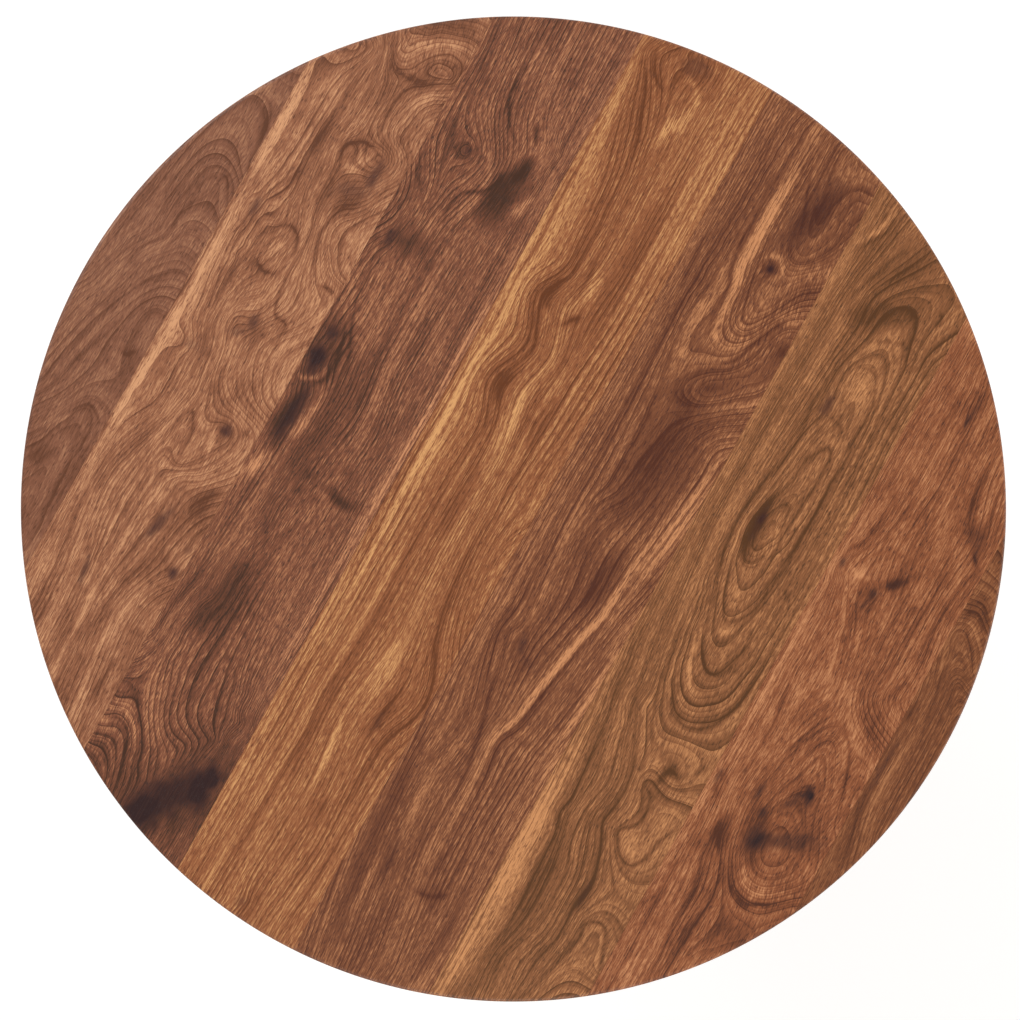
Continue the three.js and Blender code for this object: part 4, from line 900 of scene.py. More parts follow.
def figureOf(board, number, x, y):
    # ring field, tone and knot darkness of a board at points x, y
    d = drawing

    def noise(length, width, step):
        return smoothNoise(x / length, y / width, number * 7 + step)
    ring = ringSpline(board["ringLines"], x, y)
    for step, (amount, length, width) in enumerate(d["wander"], 1):
        ring += amount * noise(length, width, step)
    tone = np.zeros_like(x)
    knot = np.zeros_like(x)
    strayU, strayV = (d["knotStray"] * noise(d["knotGrit"], d["knotGrit"], step) for step in (3, 4))
    for kx, ky, half, across, turn, dark, push in board["knots"]:
        a = math.radians(turn)
        u = ((x - kx) * math.cos(a) + (y - ky) * math.sin(a)) / half + strayU
        v = (-(x - kx) * math.sin(a) + (y - ky) * math.cos(a)) / across + strayV
        square = u * u + v * v
        knot += dark * np.exp(-square ** d["knotEdge"])
        ring += push * np.exp(-square / d["pushReach"])
        tone -= dark * d["haloTone"] * np.exp(-square / d["haloReach"])
    wobbleX, wobbleY = (amount * noise(length, width, step)
                        for step, (amount, length, width) in enumerate(d["strokeStray"], 5))
    for shade, width, points in board["strokes"]:
        line = smoothLine(points, max(1.2, width * 0.4))
        swell = np.sin(math.pi * np.clip(np.linspace(0, 1, len(line)), 0.015, 0.985))
        widths = width * (0.35 + 0.65 * swell ** 0.5)
        fades = swell ** 0.6
        low, high = line.min(0) - 3 * width, line.max(0) + 3 * width
        inside = np.nonzero((x > low[0]) & (x < high[0]) & (y > low[1]) & (y < high[1]))[0]
        strength = shade * (d["darkStrength"] if shade < 0 else d["lightStrength"])
        batch = 3000
        for start in range(0, len(inside), batch):
            part = inside[start:start + batch]
            dx = x[part, None] + wobbleX[part, None] - line[None, :, 0]
            dy = y[part, None] + wobbleY[part, None] - line[None, :, 1]
            fall = (dx ** 2 + dy ** 2) / widths[None, :] ** 2
            if shade < 0 and width < d["thinStroke"]:
                fall = d["crest"] * np.sqrt(fall)
            tone[part] += strength * (np.exp(-fall) * fades[None, :]).max(1)
    return ring, tone, np.clip(knot, 0, 1)


def rimProfile(distance):
    # height of the upper face's edge at a distance from the middle
    ease = topSizes["rimEase"]
    over = np.clip(distance - topSizes["radius"] + ease, 0, ease)
    return topSizes["upper"] - ease + np.sqrt(np.maximum(ease ** 2 - over ** 2, 0))


def boardLoop(spread, lowAtRim, topCells):
    # One closed section across a board, as (place, drop, upper half or not). spread(radius) gives the places
    # of both ends for a ring of that radius. The high end is at the rim, and the low one too if lowAtRim.
    ease, steps = topSizes["rimEase"], topSizes["rimSteps"]
    turns = [k / steps * math.pi / 2 for k in range(steps + 1)]
    lowEnds, highEnds = zip(*[spread(topSizes["radius"] - ease + ease * math.sin(t)) for t in turns])
    drops = [ease * (1 - math.cos(t)) for t in turns]
    first, last = lowEnds[0], highEnds[0]
    loop = [(first + (last - first) * s, 0.0, True) for s in np.linspace(0, 1, topCells + 1)]
    loop += [(highEnds[k], drops[k], True) for k in range(1, steps + 1)]
    loop += [(highEnds[k], drops[k], False) for k in range(steps, 0, -1)]
    underCells = topCells // topSizes["underCells"]
    loop += [(first + (last - first) * s, 0.0, False) for s in np.linspace(1, 0, underCells + 1)]
    if lowAtRim:
        loop += [(lowEnds[k], drops[k], False) for k in range(1, steps + 1)]
        loop += [(lowEnds[k], drops[k], True) for k in range(steps, 0, -1)]
    return loop


def boardShape(board):
    # points and faces of one board, rows running across it in Y or, for the outer ones, in X
    radius, cell = topSizes["radius"], topSizes["cell"]
    low, high = board["near"] + topSizes["glueHalf"], board["far"] - topSizes["glueHalf"]
    outer = high > radius or low < -radius
    rows = []
    if not outer:
        nearest = min(abs(low), abs(high)) if low * high > 0 else 0
        topCells = int(2 * math.sqrt(radius ** 2 - nearest ** 2) / cell)
        for y in np.linspace(low, high, int((high - low) / cell) + 1):
            def spread(r, y=y):
                reach = math.sqrt(max(r * r - y * y, 0))
                return -reach, reach
            rows.append([(x, y, drop, up) for x, drop, up in boardLoop(spread, True, topCells)])
    else:
        side = 1 if high > radius else -1
        seam = low if side > 0 else -high
        reach = math.sqrt(radius ** 2 - seam ** 2)
        topCells = int((radius - seam) / cell)
        for x in np.linspace(-reach, reach, int(2 * reach / cell) + 1):
            def spread(r, x=x):
                return seam, max(seam, math.sqrt(max(r * r - x * x, 0)))
            rows.append([(x, y * side, drop, up) for y, drop, up in boardLoop(spread, False, topCells)])
    points = np.array([point for row in rows for point in row], float)
    edge = rimProfile(np.hypot(points[:, 0], points[:, 1]))
    z = np.where(points[:, 3] > 0.5, edge, topSizes["upper"] + topSizes["under"] - edge)
    count = len(rows[0])
    faces = []
    for a in range(len(rows) - 1):
        for k in range(count):
            n = (k + 1) % count
            faces.append((a * count + k, a * count + n, (a + 1) * count + n, (a + 1) * count + k))
    if not outer:
        last = (len(rows) - 1) * count
        faces.append(tuple(range(count - 1, -1, -1)))
        faces.append(tuple(range(last, last + count)))
    return np.column_stack([points[:, 0], points[:, 1], z]), faces


def paintBoard(piece, board, number):
    mesh = piece.data
    place = np.empty(len(mesh.vertices) * 3)
    mesh.vertices.foreach_get("co", place)
    x, y, z = place.reshape(-1, 3).T / mm
    down = topSizes["upper"] - z
    ring, tone, knot = figureOf(board, number, x, y)
    share = np.clip(down / (topSizes["upper"] - topSizes["under"]), 0, 1)
    fade = 1 - (1 - topSizes["underTone"]) * share
    across = y + topSizes["fineFollow"] * (ring - y - np.mean(ring - y))
    figure = np.column_stack([x, ring + topSizes["ringTilt"] * down, down])
    shades = np.column_stack([tone * fade, knot * fade, across])
    for name, values in (("figure", figure), ("shades", shades)):
        layer = mesh.attributes.new(name, "FLOAT_VECTOR", "POINT")
        layer.data.foreach_set("vector", values.astype(np.float32).ravel())


for number, board in enumerate(boardFigures, 1):
    walnut = makeWalnut(f"walnutOiledBoard{number}", board, boardSource)
    points, faces = boardShape(board)
    piece = makePiece(f"board{number}", points.tolist(), faces, walnut, 30)
    paintBoard(piece, board, number)
    settle(piece, "top", board["slot"], f"top_board_{number}")
    print("board", number, len(piece.data.vertices), "points")


def makeFinish(name, look):
    # one noise drifts the colour and the gloss in soft clouds, and a finer one marks the surface
    material = newMaterial(name)
    tree = material.node_tree
    place = addNode(tree, "ShaderNodeTexCoord").outputs["Object"]
    noises = []
    for part in ("cloud", "marks"):
        scale, detail, broken = look[part]
        stretched = addNode(tree, "ShaderNodeMapping", {"Vector": place, "Scale": scale}).outputs[0]
        noises.append(addNode(tree, "ShaderNodeTexNoise",
                              {"Vector": stretched, "Scale": 1.0, "Detail": detail,
                               "Roughness": broken}).outputs[0])
    cloud, marks = noises
    low, high = look["range"]
    blend = addNode(tree, "ShaderNodeMapRange", {0: cloud, 1: low, 2: high, 3: 0.0, 4: 1.0}).outputs[0]
    first, second = (toLinear(colour) for colour in look["colours"])
    colour = addNode(tree, "ShaderNodeMix", {0: blend, 6: first, 7: second}, data_type="RGBA").outputs[2]
    rough = look["rough"] - 0.5 * look["marksRough"]  # noise is 0.5 on the whole
    for feed, amount in ((blend, look["roughDrift"]), (marks, look["marksRough"])):
        rough = addNode(tree, "ShaderNodeMath", {0: feed, 1: amount, 2: rough},
                        operation="MULTIPLY_ADD").outputs[0]
    bump = addNode(tree, "ShaderNodeBump", {"Strength": look["bump"], "Distance": look["relief"] * mm,
                                            "Height": marks}).outputs[0]
    shader = addNode(tree, "ShaderNodeBsdfPrincipled",
                     {"Base Color": colour, "Roughness": rough, "Normal": bump,
                      **look["shader"]})
    addNode(tree, "ShaderNodeOutputMaterial", {"Surface": shader.outputs[0]})
    return material


# The two noises are (cycles to the metre along X, Y and Z, detail, roughness).
finishes = {
    # turned and polished brass, a little dulled: warm yellow with browner clouds and marks 0.4 mm wide
    "agedBrassPolished": {"colours": ("#c9a35c", "#94703a"), "rough": 0.24, "roughDrift": 0.18,
                          "cloud": ((120.0, 120.0, 120.0), 4.0, 0.6), "range": (0.38, 0.68),
                          "marks": ((260.0, 2600.0, 2600.0), 3.0, 0.5), "marksRough": 0.25, "bump": 0.3,
                          "relief": 0.1, "shader": {"Metallic": 1.0}},
    # bright zinc-plated steel, as screws are sold: a cool grey
    "zincPlatedSteel": {"colours": ("#a9abae", "#7d7f84"), "rough": 0.3, "roughDrift": 0.15,
                        "cloud": ((300.0, 300.0, 300.0), 4.0, 0.6), "range": (0.38, 0.68),
                        "marks": ((900.0, 900.0, 900.0), 3.0, 0.5), "marksRough": 0.25, "bump": 0.3,
                        "relief": 0.1, "shader": {"Metallic": 1.0}},
    # iron plate, blackened and waxed: nearly black, with a dull uneven gloss and a hint of brown
    "blackenedIronPlate": {"colours": ("#2a2928", "#3a322c"), "rough": 0.5, "roughDrift": 0.14,
                           "cloud": ((60.0, 60.0, 60.0), 4.0, 0.6), "range": (0.38, 0.68),
                           "marks": ((420.0, 420.0, 420.0), 3.0, 0.5), "marksRough": 0.25, "bump": 0.3,
                           "relief": 0.1, "shader": {"Metallic": 0.8}},
    # moulded nylon: dark brown and matte, with the fine spark-eroded texture of its mould, 0.5 mm across
    "mouldedNylon": {"colours": ("#37322d", "#443e38"), "rough": 0.55, "roughDrift": 0.12,
                     "cloud": ((90.0, 90.0, 90.0), 2.0, 0.5), "range": (0.0, 1.0),
                     "marks": ((2200.0, 2200.0, 2200.0), 2.0, 0.5), "marksRough": 0.0, "bump": 0.4,
                     "relief": 0.12, "shader": {"IOR": 1.53}},
    # straight-grained beech, sanded: pale, with fine brown flecks 1 mm wide and up to 17 mm long
    "sandedBeech": {"colours": ("#a57a4e", "#cda070"), "rough": 0.5, "roughDrift": 0.1,
                    "cloud": ((900.0, 900.0, 60.0), 3.0, 0.5), "range": (0.0, 1.0),
                    "marks": ((900.0, 900.0, 60.0), 3.0, 0.5), "marksRough": 0.0, "bump": 0.3,
                    "relief": 0.1, "shader": {"IOR": 1.5}},
}
agedBrass, screwSteel, blackIron, glideNylon, sandedBeech = (makeFinish(*item) for item in finishes.items())


def turnOnto(direction):
    # the rotation that lays a direction along +X
    return tuple(Vector(direction).rotation_difference(Vector((1, 0, 0))).to_euler())


# The base is the same walnut from plainer, darker blanks.
baseLook = {"dark": "#55311f", "middle": "#7d4d32", "light": "#a9744f", "pit": walnutPit, "seed": 0.31,
            "spacing": 5.0, "lines": 0.34, "bands": 0.6, "mottleAndSheen": 0.3, "fibres": 0.5}


def baseWalnut(name, direction, pith, **changes):
    look = dict(baseLook, **changes)
    return makeWalnut(name, look, blankSource(turnOnto(direction), pith))


battenSizes = {"x": 105.9, "half": 14.0, "reach": 350.0, "seat": 694.9, "height": 42.0, "endHeight": 16.0,
               "taper": 90.0, "ease": 1.6, "counterbore": 6.5, "overHead": 20.0,
               "screwY": (298.775, 171.125, 43.475, -100.5, -211.825, -320.0), "pith": (34.0, -640.0)}
pivotSizes = {"y": -80.0, "z": 672.0, "pin": 5.0, "bush": 8.0, "head": 9.0, "headThickness": 3.5,
              "washer": 11.0, "washerThickness": 1.6, "washerPlay": 0.25, "gap": 0.15, "bushFit": 0.05,
              "pinEnd": 52.0,
              "slotWidth": 1.6, "slotDepth": 1.4, "slotReach": 12.0}
blockSizes = {"half": 90.0, "top": 694.5, "thickness": 45.0, "back": 95.0, "ease": 1.8, "tenonHole": 19.3,
              "socket": 5.1, "socketDepth": 22.0, "roundSteps": 24, "pith": (30.0, -560.0)}
boltZ = 683.0
below, above = 640.0, 700.0  # heights clear of the block and battens, for tools that cut through


def makeBattens():
    s = battenSizes
    inset = s["reach"] - s["taper"]
    end, low = s["seat"] - s["endHeight"], s["seat"] - s["height"]
    outline = [(-s["reach"], s["seat"]), (-s["reach"], end), (-inset, low), (inset, low), (s["reach"], end),
               (s["reach"], s["seat"])]
    for side, sign in (("left", -1), ("right", 1)):
        x = s["x"] * sign
        wood = baseWalnut(f"walnutSawn{side.capitalize()}", (0, 1, 0), (s["pith"][0] * sign, s["pith"][1]),
                          seed=0.4 + 0.2 * sign)
        bar = slab(f"batten{side.capitalize()}", outline, x - s["half"], x + s["half"], wood)
        bevelEdges(bar, s["ease"], 3, 12)
        tools = [rodTool("z", s["counterbore"], below, s["seat"] - s["overHead"], (x, y, 0))
                 for y in s["screwY"]]
        tools.append(rodTool("x", pivotSizes["bush"] + pivotSizes["bushFit"], x - 20, x + 20,
                             (0, pivotSizes["y"], pivotSizes["z"])))
        joinOrCut(bar, tools)
        settle(bar, "top", "walnut_base", f"batten_{side}")


def makePivots():
    p = pivotSizes
    at = (0, p["y"], p["z"])
    inner, outer = battenSizes["x"] - battenSizes["half"], battenSizes["x"] + battenSizes["half"]
    neck = outer + p["gap"]
    crown = neck + p["headThickness"]
    bushBore, washerBore = p["pin"] + p["gap"], p["pin"] + p["washerPlay"]
    start = blockSizes["half"] + p["gap"]
    end = start + p["washerThickness"]
    bush = softened([(bushBore, inner), (p["bush"], inner), (p["bush"], outer), (bushBore, outer)], 0.5)
    washer = softened([(washerBore, start), (p["washer"], start), (p["washer"], end), (washerBore, end),
                       (washerBore, start)], 0.4)
    pin = softened([(0, p["pinEnd"]), (p["pin"], p["pinEnd"]), (p["pin"], neck), (p["head"], neck),
                    (p["head"], neck + p["headThickness"] * 0.62), (p["head"] * 0.78, crown - 0.15),
                    (0, crown)], 0.5)
    rings = (("pivotPin", "pedestal", "pivot_pin_", pin),
             ("pivotBush", "top", "pivot_bush_", bush + bush[:1]),
             ("pivotWasher", "pedestal", "pivot_washer_", washer + washer[:1]))
    for side, sign in (("left", -1), ("right", 1)):
        for name, body, node, profile in rings:
            piece = turned(name + side.capitalize(), [(r, along * sign) for r, along in profile], agedBrass,
                           "x", at)
            if name == "pivotPin":
                slot = brick("tool", sorted((sign * (crown - p["slotDepth"]), sign * (crown + 2))),
                             (p["y"] - p["slotWidth"] / 2, p["y"] + p["slotWidth"] / 2),
                             (p["z"] - p["slotReach"], p["z"] + p["slotReach"]), None)
                joinOrCut(piece, [slot])
            settle(piece, body, "aged_brass", node + side)


def makeBlock():
    b = blockSizes
    radius = b["thickness"] / 2
    bottom = b["top"] - b["thickness"]
    outline = [(b["back"], bottom), (b["back"], b["top"])]
    for k in range(b["roundSteps"] + 1):  # the upper front edge is round about the pivot line
        a = math.pi / 2 * (1 + k / b["roundSteps"])
        outline.append((pivotSizes["y"] + radius * math.cos(a), pivotSizes["z"] + radius * math.sin(a)))
    outline.append((pivotSizes["y"] - radius, bottom))
    wood = baseWalnut("walnutSawnBlock", (1, 0, 0), b["pith"], seed=0.77, spacing=4.2)
    block = slab("pivotBlock", outline, -b["half"], b["half"], wood)
    bevelEdges(block, b["ease"], 3, 40)
    pinHole, pinDepth = pivotSizes["pin"] + pivotSizes["gap"], pivotSizes["pinEnd"] - 1
    at = (0, pivotSizes["y"], pivotSizes["z"])
    tools = [rodTool("z", b["tenonHole"], below, above, sides=96),
             rodTool("y", b["socket"], b["back"] - b["socketDepth"], b["back"] + 15, (0, 0, boltZ)),
             rodTool("x", pinHole, -b["half"] - 10, -pinDepth, at),
             rodTool("x", pinHole, pinDepth, b["half"] + 10, at)]
    joinOrCut(block, tools)
    settle(block, "pedestal", "walnut_base", "pivot_block")


makeBattens()
makePivots()
makeBlock()
print("battens, pivots and block made")


boltSizes = {"radius": 4.0, "tip": 100.0, "length": 80.0, "cone": 1.5, "knobY": 141.8, "stem": 2.5,
             "collar": 5.5,
             "ball": 7.0, "ballDrop": 20.0, "ballSteps": 18, "rootGap": 0.3, "rodEase": 0.7, "knobEase": 0.4}
plateSizes = {"halfWidth": 22.0, "near": 103.0, "far": 187.0, "thickness": 2.0, "guideHalf": 10.0,
              "guides": ((107.0, 119.0), (147.6, 159.6)), "guideFoot": 675.5, "passage": 4.18,
              "screwX": 16.0, "screwY": (113.0, 177.0), "screwHead": 3.3}
strikeSizes = {"halfWidth": 18.0, "halfHeight": 10.0, "near": 95.1, "far": 97.1, "hole": 4.8, "screwX": 13.0,
               "corner": 3.0}
springSizes = {"width": 6.0, "thickness": 0.6, "from": 121.0, "to": 145.6, "rise": 4.6, "gap": 0.2,
               "steps": 24}
countersink = {"depth": 1.8, "bore": 1.75}


def makeBolt():
    b = boltSizes
    back = b["tip"] + b["length"]
    profile = softened([(0, b["tip"]), (b["radius"] - b["cone"], b["tip"]),
                        (b["radius"], b["tip"] + b["cone"]), (b["radius"], back), (0, back)], b["rodEase"])
    rod = turned("boltRod", profile, agedBrass, "y", (0, 0, boltZ))
    joinOrCut(rod, [rodTool("z", b["stem"] + 0.1, boltZ - 6, boltZ, (0, b["knobY"], 0))])
    settle(rod, "bolt", "aged_brass", "bolt_rod")
    root = -b["rootGap"]
    collarTop = root - b["radius"]
    knob = [(0, -b["ballDrop"] - b["ball"])]
    for k in range(1, b["ballSteps"] + 1):
        a = -math.pi / 2 + k / b["ballSteps"] * math.pi * 0.86
        knob.append((b["ball"] * math.cos(a), -b["ballDrop"] + b["ball"] * math.sin(a)))
    knob += softened([(2.7, -11.5), (2.4, collarTop - 3.4), (b["collar"] * 0.86, collarTop - 2.4),
                      (b["collar"], collarTop - 1.4), (b["collar"], collarTop), (b["stem"], collarTop),
                      (b["stem"], root)], b["knobEase"])
    knob.append((0, root))
    settle(turned("boltKnob", knob, agedBrass, "z", (0, b["knobY"], boltZ), 64, 50), "bolt", "aged_brass",
           "bolt_knob")


def sunkHole(axis, face, back, at, head=plateSizes["screwHead"]):
    # a countersunk hole from the face towards the back, which may lie either way along the axis
    way = 1 if back > face else -1
    profile = [(0, face - way), (head, face - way), (head, face),
               (countersink["bore"], face + way * countersink["depth"]),
               (countersink["bore"], back + way), (0, back + way)]
    return turned("tool", profile, None, axis, at)


def makeBoltPlate():
    p = plateSizes
    seat = battenSizes["seat"]
    face = seat - p["thickness"]
    plate = brick("boltPlate", (-p["halfWidth"], p["halfWidth"]), (p["near"], p["far"]), (face, seat),
                  agedBrass)
    bevelEdges(plate, 0.5, 2)
    guides = [brick("tool", (-p["guideHalf"], p["guideHalf"]), ends, (p["guideFoot"], seat - 1.0), None)
              for ends in p["guides"]]
    joinOrCut(plate, [bevelEdges(guide, 1.6, 4) for guide in guides], "UNION")
    tools = [rodTool("y", p["passage"], p["near"] - 5, p["far"] + 5, (0, 0, boltZ))]
    tools += [sunkHole("z", face, seat, (x, y, 0)) for x in (-p["screwX"], p["screwX"]) for y in p["screwY"]]
    joinOrCut(plate, tools)
    plate.data.materials.clear()
    plate.data.materials.append(agedBrass)
    settle(plate, "top", "aged_brass", "bolt_plate")


def makeStrike():
    s = strikeSizes
    outline = []
    for cx, cz, first in ((1, 1, 0), (-1, 1, 90), (-1, -1, 180), (1, -1, 270)):
        for k in range(7):
            a = math.radians(first + 15 * k)
            outline.append((cx * (s["halfWidth"] - s["corner"]) + s["corner"] * math.cos(a),
                            boltZ + cz * (s["halfHeight"] - s["corner"]) + s["corner"] * math.sin(a)))
    plate = prism("strikePlate", [(x, s["near"], z) for x, z in outline],
                  [(x, s["far"], z) for x, z in outline],
                  agedBrass)
    bevelEdges(plate, 0.4, 2, 60)
    tools = [rodTool("y", s["hole"], s["near"] - 5, s["far"] + 5, (0, 0, boltZ))]
    tools += [sunkHole("y", s["far"], s["near"], (x, 0, boltZ)) for x in (-s["screwX"], s["screwX"])]
    joinOrCut(plate, tools)
    settle(plate, "pedestal", "aged_brass", "strike_plate")


def makeSpring():
    # a bowed leaf that presses on the rod at its middle
    s = springSizes
    crown = boltZ + boltSizes["radius"] + s["gap"]
    ends = min(crown + s["rise"], battenSizes["seat"] - plateSizes["thickness"] - 0.3) - s["thickness"]
    lower = []
    for k in range(s["steps"] + 1):
        share = k / s["steps"]
        lower.append((s["from"] + (s["to"] - s["from"]) * share,
                      crown + (ends - crown) * (2 * share - 1) ** 2))
    upper = [(y, z + s["thickness"]) for y, z in reversed(lower)]
    spring = slab("boltLeafSpring", lower + upper, -s["width"] / 2, s["width"] / 2, agedBrass)
    settle(bevelEdges(spring, 0.12, 1, 50), "top", "aged_brass", "bolt_leaf_spring")


makeBolt()
makeBoltPlate()
makeStrike()
makeSpring()
print("bolt made")


columnSizes = {"bottom": 96.0, "drum": 44.0, "drumTop": 212.0, "drumEase": 3.0, "cap": 36.0, "capFrom": 54.0,
               "shoulder": 649.4, "tenon": 19.0, "top": 694.4, "flat": 39.39, "flatTop": 200.3,
               "vaseFrom": 230.0,
               "neck": 587.4, "sides": 144, "slotHalf": 1.55, "slotFloor": 662.2}
wedgeSizes = {"length": 18.7, "depth": 32.0, "tipHalf": 0.4, "rootHalf": 1.5}
# The column's turned parts, as (radius, height above the drum's top or the neck). The vase's heights are
# shares of its length.
footBead = ((34, 0), (34, 4), (38, 6), (38, 13), (33, 15))
vaseShape = ((33, 0), (44, 0.07), (48.5, 0.16), (45.5, 0.3), (35.5, 0.52), (27.5, 0.75), (24, 1))
neckBead = ((24, 6), (31, 9), (31, 13), (25, 17))
flareShape = ((25, 17), (24.5, 26), (27, 38), (columnSizes["cap"], columnSizes["capFrom"]))
legTurns = {"Rear": 90, "FrontLeft": 210, "FrontRight": 330}
nodeSides = {"Rear": "rear", "FrontLeft": "front_left", "FrontRight": "front_right"}


def makeColumn():
    c = columnSizes
    vase = smoothLine([(r, c["vaseFrom"] + (c["neck"] - c["vaseFrom"]) * share) for r, share in vaseShape], 6)
    flare = smoothLine([(r, c["neck"] + z) for r, z in flareShape], 2.5)
    lower = [(0, c["bottom"]), (c["drum"], c["bottom"]), (c["drum"], c["drumTop"] - c["drumEase"]),
             (c["drum"] - c["drumEase"], c["drumTop"])]
    lower += [(r, c["drumTop"] + z) for r, z in footBead] + [tuple(vase[0])]
    upper = [tuple(vase[-1])] + [(r, c["neck"] + z) for r, z in neckBead]
    crown = [tuple(flare[-1]), (c["cap"], c["shoulder"]), (c["tenon"], c["shoulder"]), (c["tenon"], c["top"]),
             (0, c["top"])]
    profile = softened(lower, 1.6)[:-1] + [tuple(p) for p in vase[:-1]] + softened(upper, 1.4)
    profile += [tuple(p) for p in flare[1:-1]] + softened(crown, 1.0)
    wood = baseWalnut("walnutTurned", (0, 0, 1), (46.0, -30.0), seed=0.15, spacing=5.5)
    column = turned("column", profile, wood, "z", sides=c["sides"])
    tools = []
    for degrees in legTurns.values():  # a flat for each leg's shoulder
        tool = brick("tool", (c["flat"], c["flat"] + 20), (-c["drum"], c["drum"]),
                     (c["bottom"] - 6, c["flatTop"]), None)
        tool.data.transform(Matrix.Rotation(math.radians(degrees), 4, "Z"))
        tools.append(tool)
    slot = (c["slotFloor"], c["top"] + 2)
    tools.append(brick("tool", (-25, 25), (-c["slotHalf"], c["slotHalf"]), slot, None))
    joinOrCut(column, tools)
    settle(column, "pedestal", "walnut_base", "column")


def makeWedge():
    w = wedgeSizes
    top = columnSizes["top"]
    outline = [(-w["tipHalf"], top - w["depth"]), (w["tipHalf"], top - w["depth"]), (w["rootHalf"], top),
               (-w["rootHalf"], top)]
    wedge = slab("tenonWedge", outline, -w["length"], w["length"], sandedBeech)
    settle(bevelEdges(wedge, 0.15, 1, 50), "pedestal", "wedge_beech", "tenon_wedge")


legSizes = {"foot": 318.0, "sole": 4.3, "around": 56, "stations": 110}
legStations = (  # upper edge, lower edge, half width, squareness of the section
    ((39.686, 200), (39.686, 96), 17, 7), ((66, 198), (62, 97), 17, 6), ((98, 188), (82, 107), 16.8, 5),
    ((133, 166), (98, 115), 16.5, 4), ((172, 127), (138, 91), 15.5, 3.4), ((212, 85), (188, 56), 14, 3),
    ((252, 53), (238, 28), 12.5, 2.6), ((288, 35.5), (282, 12), 14, 2.4), ((319, 28), (317, 2), 24, 2.3),
    ((340, 24), (339, 2), 21, 2.3), ((353, 15), (353, 5.5), 8, 2.2),
)
glideSizes = {"bore": 1.35, "sink": 4.7, "radius": 12.0, "floor": 0.05, "sinkTop": 2.5, "top": 4.0,
              "ease": 0.6}


def centripetalLine(points, count):
    # the centripetal Catmull-Rom curve through the points, at equal shares of its segments
    p = [np.array(q, float) for q in points]
    p = [2 * p[0] - p[1]] + p + [2 * p[-1] - p[-2]]
    out = []
    last = len(p) - 3
    for s in range(count + 1):
        place = s / count * last
        i = min(int(place), last - 1)
        a, b, c, d = p[i:i + 4]
        t1 = np.linalg.norm(b - a) ** 0.5
        t2 = t1 + np.linalg.norm(c - b) ** 0.5
        t3 = t2 + np.linalg.norm(d - c) ** 0.5
        t = t1 + (place - i) * (t2 - t1)
        ab = a * (t1 - t) / t1 + b * t / t1
        bc = b * (t2 - t) / (t2 - t1) + c * (t - t1) / (t2 - t1)
        cd = c * (t3 - t) / (t3 - t2) + d * (t - t2) / (t3 - t2)
        abc = ab * (t2 - t) / t2 + bc * t / t2
        bcd = bc * (t3 - t) / (t3 - t1) + cd * (t - t1) / (t3 - t1)
        out.append(abc * (t2 - t) / (t2 - t1) + bcd * (t - t1) / (t2 - t1))
    return out


def makeLegs():
    s = legSizes
    upper = centripetalLine([(*u, half) for u, l, half, n in legStations], s["stations"])
    lower = centripetalLine([(*l, n) for u, l, half, n in legStations], s["stations"])
    points = []
    for u, l in zip(upper, lower):  # each section is a rounded oblong between the two edges
        for k in range(s["around"]):
            a = (k + 0.5) / s["around"] * 2 * math.pi
            across = math.copysign(abs(math.cos(a)) ** (2 / l[2]), math.cos(a))
            share = (1 + math.copysign(abs(math.sin(a)) ** (2 / l[2]), math.sin(a))) / 2
            points.append((l[0] + (u[0] - l[0]) * share, u[2] * across,
                           max(s["sole"], l[1] + (u[1] - l[1]) * share)))
    faces = []
    for a in range(s["stations"]):
        for k in range(s["around"]):
            n = (k + 1) % s["around"]
            faces.append((a * s["around"] + k, (a + 1) * s["around"] + k, (a + 1) * s["around"] + n,
                          a * s["around"] + n))
    last = s["stations"] * s["around"]
    faces.append(tuple(range(s["around"])))
    faces.append(tuple(range(last + s["around"] - 1, last - 1, -1)))
    for name, degrees in legTurns.items():
        turn = math.radians(degrees)
        direction = (math.cos(turn) * 0.83, math.sin(turn) * 0.83, -0.56)  # grain runs down along the leg
        wood = baseWalnut(f"walnutShaped{name}", direction, (520.0, 60.0 + degrees * 0.2),
                          seed=0.1 + degrees / 400)
        leg = makePiece(f"leg{name}", points, faces, wood, 42)
        leg.data.transform(Matrix.Rotation(turn, 4, "Z"))
        settle(leg, "pedestal", "walnut_base", f"leg_{nodeSides[name]}")


def makeGlides():
    g = glideSizes
    profile = softened([(g["bore"], g["sinkTop"]), (g["bore"], g["top"]), (g["radius"], g["top"]),
                        (g["radius"], g["floor"]), (g["sink"], g["floor"]), (g["sink"], g["sinkTop"]),
                        (g["bore"], g["sinkTop"])], g["ease"])
    for name, degrees in legTurns.items():
        turn = math.radians(degrees)
        at = (legSizes["foot"] * math.cos(turn), legSizes["foot"] * math.sin(turn), 0)
        settle(turned(f"glide{name}", profile, glideNylon, "z", at), "pedestal", "glide_nylon",
               f"glide_{nodeSides[name]}")


braceSizes = {"top": 95.7, "thickness": 2.5, "disc": 36.0, "armHalf": 11.0, "armReach": 57.0,
              "columnScrew": 27.0,
              "legScrew": 54.0, "hole": 2.3, "armSteps": 12, "discSteps": 16}


